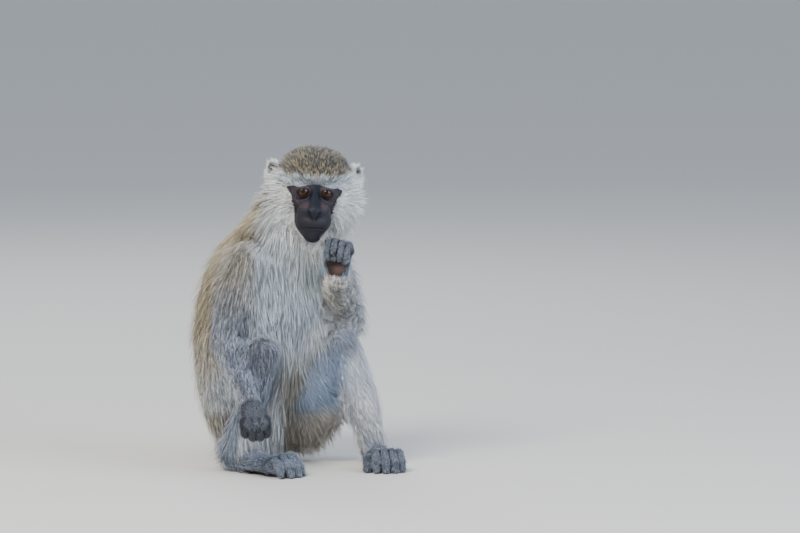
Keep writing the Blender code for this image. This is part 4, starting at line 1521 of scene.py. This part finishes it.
def at_roots(values, corners, weights):
    """Values at the skin's points, carried to the roots by their weights in a triangle."""
    values = np.asarray(values)
    shape = (slice(None), slice(None)) + (None,) * (values.ndim - 1)
    return (values[corners] * weights[shape]).sum(1)


def clump_shift(roots, size, random):
    """From each root to the middle of its clump, the roots that share a cell of a warped and turned grid."""
    turn = np.linalg.qr(random.normal(size=(3, 3)))[0]
    wave = np.sin(roots[:, [1, 2, 0]] / (1.1 * size[:, None]) + random.random(3) * 6)
    warped = roots + 0.35 * size[:, None] * wave
    step = np.exp2(np.round(np.log2(size)))
    cell = np.column_stack([np.floor(warped @ turn / step[:, None]), np.log2(step)]).astype(int)
    _, index = np.unique(cell, axis=0, return_inverse=True)
    index = index.reshape(-1)
    count = np.bincount(index)
    middle = np.column_stack([np.bincount(index, roots[:, k]) / count for k in range(3)])
    return middle[index] - roots, index


def above_skin(state, places, size=4.0, least=1.2, most=5.0):
    """How far to raise places to be at least so far above the skin, held to a most.

    Their height is over the mean plane of the skin's points in the same cell of a grid.
    """
    def cells(points):
        return np.floor(points / size).astype(np.int64) @ np.array([1, 4096, 4096 * 4096])

    keys, index = np.unique(cells(state["points"]), return_inverse=True)
    index = index.reshape(-1)
    count = np.bincount(index)
    middle, normal = (
        np.column_stack([np.bincount(index, column) / count for column in state[key].T])
        for key in ("points", "normals")
    )
    found = np.minimum(np.searchsorted(keys, cells(places)), len(keys) - 1)
    height = dot(places - middle[found], unit(normal[found]))
    return np.where(keys[found] == cells(places), np.clip(least - height, 0.0, most), 0.0)


def spindles(tufts, rows):
    """Closed spindles: a point under the skin, rings of three round the path, flat to a half, and a tip."""
    rings = len(rows)
    points = np.empty((len(tufts.root), 2 + 3 * rings, 3))
    points[:, 0], points[:, -1] = tuft_path(tufts, 0.0), tuft_path(tufts, 1.0)
    along = np.concatenate([[0.0], np.repeat([share for share, _ in rows], 3), [1.0]])
    for k, (share, size) in enumerate(rows):
        middle, half = tuft_path(tufts, share), 0.5 * size * tufts.width[:, None]
        for j, angle in enumerate(math.pi / 2 + turn_angles(3)):
            points[:, 1 + 3 * k + j] = middle + half * (
                math.cos(angle) * tufts.across + 0.5 * math.sin(angle) * tufts.over)
    faces = [(0, 1 + (j + 1) % 3, 1 + j) for j in range(3)]
    for k in range(rings - 1):
        for j in range(3):
            a, b = 1 + 3 * k + j, 1 + 3 * k + (j + 1) % 3
            faces += [(a, b, b + 3), (a, b + 3, a + 3)]
    last = 1 + 3 * (rings - 1)
    faces += [(1 + 3 * rings, last + j, last + (j + 1) % 3) for j in range(3)]
    return points, np.array(faces), along


def root_places(roots, kinds, region_index):
    """Each root's place on an unwrap of the skin: a strip for each bone, angle round it, share along it."""
    regions = [region for region in REGIONS if region.startswith(kinds)]
    places = np.zeros((len(roots), 2))
    for strip, region in enumerate(regions):
        inside = region_index == REGIONS.index(region)
        if not inside.any():
            continue
        if region == "head":
            x, y, z = unit(to_head(roots[inside])).T
            turn, share = np.arctan2(x, -y), np.arccos(np.clip(z, -1, 1)) / math.pi
        else:
            start, end, radius = BONES[region]
            line = unit(end - start)
            side = unit(np.cross(line, ASIDE))
            off = roots[inside] - start
            turn = np.arctan2(off @ np.cross(line, side), off @ side)
            share, _ = along_bone(roots[inside], start - line * radius, end + line * radius)
        places[inside, 0] = (strip + 0.02 + 0.96 * (turn / (2 * math.pi) + 0.5)) / len(regions)
        places[inside, 1] = share
    return 0.003 + 0.994 * places


def grow_tufts(state, settings, random):
    """Arrays over the tufts: roots, directions, sizes and colours, varied by clump and by tuft."""
    length, lift, width, cover = coat_sizes(state)
    tint, grizzle = coat_colours(state, settings)
    width *= settings.thickness / PLAN_WIDTH
    fullness = settings.fullness * 1.0
    corners, weights = scatter(state, cover, length, width, fullness, random)
    fields = dict(
        root=state["points"], over=state["broad"], lie=state["lie"], tint=tint, grizzle=grizzle,
        length=length, lift=lift, width=width,
        **{key: state[key] for key in ("crown", "brow", "near_face", "ruff")})
    t = SimpleNamespace(**{key: at_roots(values, corners, weights) for key, values in fields.items()})
    t.region = at_roots(state["shares"].T, corners, weights).argmax(1)
    t.front = dot(t.over, FORWARD) > 0.25
    t.over = unit(t.over)
    t.on_limb = np.where(t.region == REGIONS.index("upper_arm_right"), 0.5, 1.0) * np.isin(
        t.region, [i for i, name in enumerate(REGIONS) if name.endswith(SIDES)])
    speckled = np.minimum(t.grizzle, 1.0)

    shift, clump = clump_shift(t.root, np.clip(t.length * (0.13 + 0.07 * speckled), 1.6, 5.0), random)
    t.clump = random.random((clump.max() + 1, 4))[clump]
    _, speck = clump_shift(t.root, np.full(len(t.root), 2.0), random)
    t.speck = random.random(speck.max() + 1)[speck]
    t.own = random.random((len(t.root), 6))
    stray = (t.own[:, 5] > 0.935 - 0.05 * t.ruff) & (t.near_face < 0.1)
    t.length = t.length * (0.78 + 0.40 * t.own[:, 0]) * (0.92 + 0.16 * t.clump[:, 0])
    t.length = np.minimum(t.length * np.where(stray, 1.5, 1.0), LONGEST)
    t.lift = np.radians(t.lift) * (0.65 + 0.55 * t.own[:, 1] + 0.25 * t.clump[:, 1])
    t.lift = np.minimum(t.lift * np.where(stray, 1.8, 1.0), STEEPEST)
    t.width = t.width * (0.75 + 0.5 * t.own[:, 3]) * np.where(stray, 1.3, 1.0)
    t.bend = (0.35 + 0.35 * t.own[:, 4])[:, None]

    swing = np.radians(26.0) * (t.clump[:, 2] - 0.5) + np.radians(16.0) * (t.own[:, 2] - 0.5)
    swing *= 0.6 + 0.4 * speckled
    lie = unit(flat_on(t.lie, t.over))
    t.lie = lie * np.cos(swing)[:, None] + np.cross(lie, t.over) * np.sin(swing)[:, None]
    t.across = unit(np.cross(t.lie, t.over))
    together = (0.55 + 0.40 * t.clump[:, 0]) * (1 - 0.5 * t.crown) * (0.7 + 0.3 * speckled)
    t.pull = together[:, None] * flat_on(shift, t.over)
    clear_of_face(t)
    tip = t.root + t.length[:, None] * (
        np.cos(t.lift)[:, None] * t.lie + (np.sin(t.lift)[:, None] * (1 - t.bend)) * t.over) + t.pull
    t.raise_by = above_skin(state, tip)
    t.droop = 0.10 * ramp(t.length, 12.0, 28.0)[:, None]
    return t


def clear_of_face(t):
    """Shortens the tufts beside the mask whose tips would lie over it."""
    reach = t.root + t.length[:, None] * (0.9 * t.lie + 0.1 * t.over) + t.pull
    over_face = head_marks(to_head(reach))["face"] * (t.near_face < 0.9) * np.isin(
        t.region, [REGIONS.index(name) for name in ("head", "neck", "trunk")])
    t.length *= 1 - 0.6 * ramp(over_face, 0.5, 1.0)


def tuft_path(t, s):
    """Root + length s (cos lift along the lie + sin lift (1 - bend s) off the skin) + clump pull - droop."""
    far = t.length[:, None] * s
    raised = np.sin(t.lift)[:, None] * (1 - t.bend * s)
    place = t.root - t.over * ROOT_DEPTH * (1 - s) + far * (np.cos(t.lift)[:, None] * t.lie + raised * t.over)
    place += t.pull * s ** 1.5 + t.over * t.raise_by[:, None] * s
    return place - UP * t.droop * far * s


def tuft_colours(t, along, tint):
    """Colours at each tuft's points: dark at the root, as painted shade among the tufts and, on grizzled
    hair, also its dark base; a grizzled hair's tip is either dark or pale.
    """
    grizzle = t.grizzle
    dark_tip = 0.75 * t.speck + 0.25 * t.own[:, 0] < 0.5 + 0.18 * t.crown - 0.26 * t.brow
    bright = t.tint * (1.0 + 0.45 * t.on_limb[:, None])
    pale = blend(np.tile(tint.pale, (len(bright), 1)), bright, np.maximum(t.brow, 0.85 * t.on_limb))
    end = np.where(dark_tip[:, None], tint.dark, pale)
    lock = t.tint * (1.0 + (0.12 + 0.40 * grizzle) * (t.clump[:, 3] - 0.6))[:, None]
    middle, tip = (
        blend(lock, end, grizzle * np.where(dark_tip, *shares)) for shares in ((0.55, 0.40), (0.90, 0.75)))
    out = (along[None, :, None] - 0.24) / 0.76
    # The root's ring is the lock's colour darkened: painted shade among the tufts, more on grizzled hair,
    # whose base is dark.
    return np.where(
        out <= 0, (lock * (0.78 - 0.28 * grizzle[:, None]))[:, None],
        middle[:, None] + (tip - middle)[:, None] * np.clip(out, 0, 1))


def tuft_set(t, rows, kinds, tint):
    """A set of tufts as rows: points, faces, places on the unwrap, colours, and depth, share and grizzle."""
    points, faces, along = spindles(t, rows)
    points[..., 2] = np.maximum(points[..., 2], TUFT_LOW)
    count, size = points.shape[:2]
    patch = HALF_PATCH * np.column_stack([
        [0.0] + [-1.0, 1.0, 0.1] * len(rows) + [0.0],
        np.concatenate([[-1.0], np.repeat([2 * share - 1 for share, _ in rows], 3), [1.0]]),
    ])
    places = root_places(t.root, kinds, t.region)[:, None] + patch
    strand = np.stack(np.broadcast_arrays(t.own[:, 3, None], along, t.grizzle[:, None]), -1)
    faces = np.arange(count)[:, None, None] * size + faces
    return [values.reshape(-1, values.shape[-1]) for values in (
        points, faces, places, tuft_colours(t, along, tint), strand)]


def make_coats(state, settings):
    """All coat pieces: tufts split by region into pieces, each thinned at random to the most it may have."""
    random = np.random.default_rng(7)
    tufts = grow_tufts(state, settings, random)
    tint = tones(settings)
    for name, (slot, kinds, most) in COATS.items():
        inside = np.isin(tufts.region, [i for i, label in enumerate(REGIONS) if label.startswith(kinds)])
        if "trunk" in kinds:
            inside &= tufts.front == (name == "coat_chest")
        short = tufts.length < SHORT
        sets = [(SHORT_ROWS, np.flatnonzero(inside & short)), (LONG_ROWS, np.flatnonzero(inside & ~short))]
        planned = sum(len(chosen) * 6 * len(rows) for rows, chosen in sets)
        keep = most / max(planned, 1)
        parts = []
        for rows, chosen in sets:
            if keep < 1:
                chosen = chosen[np.sort(random.permutation(len(chosen))[:int(len(chosen) * keep)])]
            if len(chosen):
                some = SimpleNamespace(**{key: values[chosen] for key, values in vars(tufts).items()})
                parts.append(tuft_set(some, rows, kinds, tint))
        points, faces = stacked([part[:2] for part in parts])
        places, colours, strands = (np.vstack([part[i] for part in parts]) for i in (2, 3, 4))
        piece = new_piece(name, points, faces)
        put_attribute(piece.data, "coat_colour", colours)
        put_attribute(piece.data, "strand", strands)
        unwrap = piece.data.uv_layers.new(name="OFBake")
        unwrap.data.foreach_set("uv", places[faces.ravel()].astype(np.float32).ravel())
        finish_piece(piece, fur_material(slot), slot)


# Materials.

def add(tree, kind, inputs=None, **settings):
    """A node with its settings; an input is linked if its value is another node's socket, and set if not."""
    node = tree.nodes.new(f"ShaderNode{kind}")
    for name, value in settings.items():
        setattr(node, name, value)
    for name, value in (inputs or {}).items():
        if isinstance(value, bpy.types.NodeSocket):
            tree.links.new(value, node.inputs[name])
        else:
            node.inputs[name].default_value = value
    return node


def new_material(name):
    """An empty material and its node tree."""
    material = bpy.data.materials.new(name)
    material.use_nodes = True
    material.node_tree.nodes.clear()
    return material, material.node_tree


FUR_NAMES = {
    "head_coat": "Grizzled head fur", "back_coat": "Body fur", "limb_coat": "Limb fur",
    "tail_coat": "Tail fur",
}


def fur_material(slot):
    """Monkey guard hair: solid keratin, dull, paler at its edges; each tuft has its own depth of colour."""
    name = FUR_NAMES[slot]
    if name in bpy.data.materials:
        return bpy.data.materials[name]
    material, tree = new_material(name)
    tint = add(tree, "Attribute", attribute_name="coat_colour")
    strand = add(tree, "Attribute", attribute_name="strand")
    parts = add(tree, "SeparateXYZ", {"Vector": strand.outputs["Vector"]})
    each = add(tree, "MapRange", {"Value": parts.outputs["X"], "To Min": 0.80, "To Max": 1.18})
    place = add(tree, "TexCoord")
    # Weathering in patches about 25 mm across.
    patches = add(tree, "TexNoise", {"Vector": place.outputs["Object"], "Scale": 40.0, "Detail": 2.0})
    patch = add(tree, "MapRange", {"Value": patches.outputs["Fac"], "To Min": 0.88, "To Max": 1.12})
    # Bands along a grizzled hair.
    run = add(tree, "Math", {0: parts.outputs["Y"], 1: 2.4, 2: parts.outputs["X"]}, operation="MULTIPLY_ADD")
    wave = add(tree, "Math", {0: run.outputs[0], 1: 0.5}, operation="PINGPONG")
    band = add(tree, "MapRange", {
        "Value": wave.outputs[0], "From Min": 0.18, "From Max": 0.32, "To Min": 0.62, "To Max": 1.10})
    amount = add(tree, "Mix", {"Factor": parts.outputs["Z"], "A": 1.0, "B": band.outputs[0]})
    both = add(tree, "Math", {0: each.outputs[0], 1: patch.outputs[0]}, operation="MULTIPLY")
    whole = add(tree, "Math", {0: both.outputs[0], 1: amount.outputs[0]}, operation="MULTIPLY")
    shaded = add(tree, "VectorMath", {0: tint.outputs["Color"], "Scale": whole.outputs[0]}, operation="SCALE")
    shader = add(tree, "BsdfPrincipled", {
        "Base Color": shaded.outputs[0], "Roughness": 0.62, "Specular IOR Level": 0.3, "IOR": 1.55,
        "Sheen Weight": 0.15, "Sheen Roughness": 0.5,
    })
    add(tree, "OutputMaterial", {"Surface": shader.outputs[0]})
    return material


def skin_material():
    """Living skin: matt and faintly oily, black where bare, finely creased; in fur the undercoat's colour,
    darkened by painted shade.
    """
    material, tree = new_material("Monkey skin")
    tint = add(tree, "Attribute", attribute_name="skin_colour")
    bare = add(tree, "Attribute", attribute_name="bare")
    place = add(tree, "TexCoord")
    mottle = add(tree, "TexNoise", {"Vector": place.outputs["Object"], "Scale": 260.0, "Detail": 3.0})
    level = add(tree, "MapRange", {"Value": mottle.outputs["Fac"], "To Min": 0.75, "To Max": 1.25})
    # Undercoat ticked with dark and pale hairs about a millimetre apart.
    ticked = add(tree, "Attribute", attribute_name="ticked")
    ticks = add(tree, "TexNoise", {"Vector": place.outputs["Object"], "Scale": 950.0, "Detail": 2.0})
    tick = add(tree, "MapRange", {
        "Value": ticks.outputs["Fac"], "From Min": 0.36, "From Max": 0.64, "To Min": 0.30, "To Max": 1.75})
    amount = add(tree, "Mix", {"Factor": ticked.outputs["Fac"], "A": 1.0, "B": tick.outputs[0]})
    both = add(tree, "Math", {0: level.outputs[0], 1: amount.outputs[0]}, operation="MULTIPLY")
    shaded = add(tree, "VectorMath", {0: tint.outputs["Color"], "Scale": both.outputs[0]}, operation="SCALE")
    # Creases about 1.2 mm apart and pores of half that.
    crease = add(tree, "TexVoronoi", {"Vector": place.outputs["Object"], "Scale": 800.0},
                 feature="DISTANCE_TO_EDGE")
    line = add(tree, "MapRange", {"Value": crease.outputs["Distance"], "From Max": 0.18})
    grain = add(tree, "TexNoise", {"Vector": place.outputs["Object"], "Scale": 1500.0, "Detail": 2.0})
    height = add(
        tree, "Math", {0: grain.outputs["Fac"], 1: 0.5, 2: line.outputs[0]}, operation="MULTIPLY_ADD")
    bump = add(tree, "Bump", {"Height": height.outputs[0], "Strength": 0.30, "Distance": 0.0003})
    gloss = add(tree, "MapRange", {"Value": bare.outputs["Fac"], "To Min": 0.8, "To Max": 0.52})
    shader = add(tree, "BsdfPrincipled", {
        "Base Color": shaded.outputs[0], "Roughness": gloss.outputs[0], "Normal": bump.outputs[0],
        "IOR": 1.4, "Specular IOR Level": 0.3,
    })
    add(tree, "OutputMaterial", {"Surface": shader.outputs[0]})
    return material


def eye_material(settings):
    """A wet eye: a clear coat over an orange-brown iris with fine rays, a black pupil and a brown white."""
    material, tree = new_material("Wet eye")
    share = add(tree, "Attribute", attribute_name="iris_share")
    turn = add(tree, "Attribute", attribute_name="iris_turn")
    stretch = add(tree, "VectorMath", {0: turn.outputs["Vector"], 1: (9.0, 9.0, 1.5)}, operation="MULTIPLY")
    rays = add(tree, "TexNoise", {"Vector": stretch.outputs[0], "Scale": 1.6, "Detail": 4.0})
    ray = add(tree, "MapRange", {"Value": rays.outputs["Fac"], "To Min": 0.55, "To Max": 1.45})
    ramp_node = add(tree, "ValToRGB", {"Fac": share.outputs["Fac"]})
    stops = ramp_node.color_ramp.elements
    inner, rim = (*settings.iris, 1.0), (*settings.iris_rim, 1.0)
    black, white = (*colour("#050404"), 1.0), (*colour("#241613"), 1.0)
    stops[0].position, stops[0].color = 0.0, black
    stops[1].position, stops[1].color = 1.0, white
    for spot, tint in ((0.36, black), (0.41, inner), (0.66, inner), (0.88, rim), (0.95, black)):
        stops.new(spot).color = tint
    shaded = add(
        tree, "VectorMath", {0: ramp_node.outputs["Color"], "Scale": ray.outputs[0]}, operation="SCALE")
    shader = add(tree, "BsdfPrincipled", {
        "Base Color": shaded.outputs[0], "Roughness": 0.45, "IOR": 1.376, "Specular IOR Level": 0.1,
        "Coat Weight": 0.6, "Coat Roughness": 0.02, "Coat IOR": 1.376,
    })
    add(tree, "OutputMaterial", {"Surface": shader.outputs[0]})
    return material


def nail_material():
    """Keratin nail: grown in one piece, smooth and faintly glossy, dark brown-grey."""
    material, tree = new_material("Keratin nail")
    place = add(tree, "TexCoord")
    streak = add(tree, "TexNoise", {"Vector": place.outputs["Object"], "Scale": 700.0, "Detail": 2.0})
    tint = add(tree, "Mix", {
        "Factor": streak.outputs["Fac"], "A": (*colour("#1d1a1b"), 1.0), "B": (*colour("#3c3532"), 1.0),
    }, data_type="RGBA")
    shader = add(tree, "BsdfPrincipled", {
        "Base Color": tint.outputs["Result"], "Roughness": 0.32, "IOR": 1.54,
    })
    add(tree, "OutputMaterial", {"Surface": shader.outputs[0]})
    return material


def floor_material(settings):
    """Matt painted board: rolled on, plain and pale, with no gloss."""
    material, tree = new_material("Matt painted board")
    shader = add(tree, "BsdfPrincipled", {
        "Base Color": (*settings.floor, 1.0), "Roughness": 0.85, "Specular IOR Level": 0.2,
    })
    add(tree, "OutputMaterial", {"Surface": shader.outputs[0]})
    return material


# Operators, one for each piece or group of like pieces, and one for the stage.

def finish_piece(piece, material, slot, *nodes):
    """Gives a piece its material and the body it rides on, and hides the nodes it stands for; the slot is not
    used.
    """
    piece.data.materials.append(material)
    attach(piece, "root")
    if nodes:
        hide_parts(*nodes)


class MONKEY_OT_skin(bpy.types.Operator):
    """Makes the one skin that stands for all flesh nodes"""
    bl_idname = "monkey.skin"
    bl_label = "Skin"

    def execute(self, context):
        settings = context.scene.monkey_skin
        skin = make_skin(settings.grain)
        state = skin_state(skin)
        tint, ticked = skin_colours(state, settings, context.scene.monkey_coat)
        put_attribute(skin.data, "skin_colour", tint)
        put_attribute(skin.data, "bare", state["naked"])
        put_attribute(skin.data, "ticked", ticked)
        finish_piece(skin, skin_material(), "hand_skin", *FLESH)
        return {"FINISHED"}


class MONKEY_OT_eyes(bpy.types.Operator):
    """Makes the two eyeballs"""
    bl_idname = "monkey.eyes"
    bl_label = "Eyes"

    def execute(self, context):
        settings = context.scene.monkey_eyes
        material = eye_material(settings)
        for name in ("eye_left", "eye_right"):
            finish_piece(make_eye(name, settings), material, "eye", name)
        return {"FINISHED"}


class MONKEY_OT_nails(bpy.types.Operator):
    """Makes the nails of the hands and feet"""
    bl_idname = "monkey.nails"
    bl_label = "Nails"

    def execute(self, context):
        material = nail_material()
        for name in LIMB_ENDS:
            finish_piece(make_nails(name), material, "hand_skin")
        return {"FINISHED"}


class MONKEY_OT_coat(bpy.types.Operator):
    """Grows the coat of solid tufts over the skin"""
    bl_idname = "monkey.coat"
    bl_label = "Coat"

    def execute(self, context):
        make_coats(skin_state(bpy.data.objects[SKIN_NAME]), context.scene.monkey_coat)
        return {"FINISHED"}


# Lights round the middle of the animal: place across and back from it and height, size, power and colour.
LIGHTS = {
    "key": ((-0.9, -1.6, 1.9), 1.1, 84.0, "#fff8ee"),
    "fill": ((1.8, -1.2, 1.0), 1.4, 52.0, "#e2ecff"),
    "back": ((-0.5, 1.8, 1.8), 1.0, 26.0, "#ffffff"),
}
LENS, SENSOR, CAMERA_AWAY, CAMERA_RISE = 239.0, 36.0, 6.0, math.radians(6.0)
AIM = (0.970, -0.049, 0.626)    # share of the way across the box, place back in metres, share of its height


def look(item, place, direction):
    """Puts a light or camera at a place, facing a direction."""
    item.location = place
    item.rotation_euler = direction.to_track_quat("-Z", "Y").to_euler()


def soft_light(name, middle, place, size, power, tint):
    """A square area light that looks at the middle of the animal."""
    data = bpy.data.lights.new(name, "AREA")
    data.size = size
    data.energy = power
    data.color = tuple(colour(tint))
    place = (middle[0] + place[0], middle[1] + place[1], place[2])
    look(new_object(name, data), place, Vector(middle) - Vector(place))


class MONKEY_OT_stage(bpy.types.Operator):
    """Makes the floor, the soft light and the camera"""
    bl_idname = "monkey.stage"
    bl_label = "Stage"

    def execute(self, context):
        scene, settings = context.scene, context.scene.monkey_stage
        low, high = (np.array(corner) for corner in CAD_BOX)
        half = settings.reach / 2 / MM
        corners = [(-half, -half, 0), (half, -half, 0), (half, half, 0), (-half, half, 0)]
        floor = new_piece("floor", corners, [(0, 1, 2, 3)], smooth=False)
        floor.data.materials.append(floor_material(settings))
        world = bpy.data.worlds.new("Soft room")
        world.use_nodes = True
        light = world.node_tree.nodes["Background"].inputs
        light["Color"].default_value, light["Strength"].default_value = (*colour("#d6e2f4"), 1.0), 0.90
        scene.world = world
        for name, row in LIGHTS.items():
            soft_light(name, (low + high) / 2, *row)
        data = bpy.data.cameras.new("camera")
        data.lens, data.sensor_width, data.clip_end = LENS, SENSOR, 100.0
        scene.camera = new_object("camera", data)
        aim = Vector((low[0] + AIM[0] * (high[0] - low[0]), AIM[1], AIM[2] * high[2]))
        away = Vector((0.0, -math.cos(CAMERA_RISE), math.sin(CAMERA_RISE)))
        look(scene.camera, aim + away * CAMERA_AWAY, -away)
        return {"FINISHED"}


class MONKEY_PT_panel(bpy.types.Panel):
    """Lists the monkey's settings and operators"""
    bl_idname = "MONKEY_PT_panel"
    bl_label = "Vervet Monkey"
    bl_space_type = "VIEW_3D"
    bl_region_type = "UI"
    bl_category = "Monkey"

    def draw(self, context):
        for settings in SETTINGS:
            group = getattr(context.scene, settings)
            for name in group.bl_rna.properties.keys():
                if name not in ("rna_type", "name"):
                    self.layout.prop(group, name)
        for operator in OPERATORS:
            self.layout.operator(operator.bl_idname)


SETTINGS = {
    "monkey_skin": SkinSettings, "monkey_eyes": EyeSettings, "monkey_coat": CoatSettings,
    "monkey_stage": StageSettings,
}
OPERATORS = (MONKEY_OT_skin, MONKEY_OT_eyes, MONKEY_OT_nails, MONKEY_OT_coat, MONKEY_OT_stage)


def register():
    for name, group in SETTINGS.items():
        bpy.utils.register_class(group)
        setattr(bpy.types.Scene, name, bpy.props.PointerProperty(type=group))
    for operator in (*OPERATORS, MONKEY_PT_panel):
        bpy.utils.register_class(operator)


def unregister():
    for operator in (MONKEY_PT_panel, *reversed(OPERATORS)):
        bpy.utils.unregister_class(operator)
    for name, group in reversed(SETTINGS.items()):
        delattr(bpy.types.Scene, name)
        bpy.utils.unregister_class(group)


def main():
    """Registers the classes and makes every piece."""
    register()
    bpy.ops.monkey.skin()
    bpy.ops.monkey.eyes()
    bpy.ops.monkey.nails()
    bpy.ops.monkey.coat()
    bpy.ops.monkey.stage()


if __name__ == "__main__":
    main()
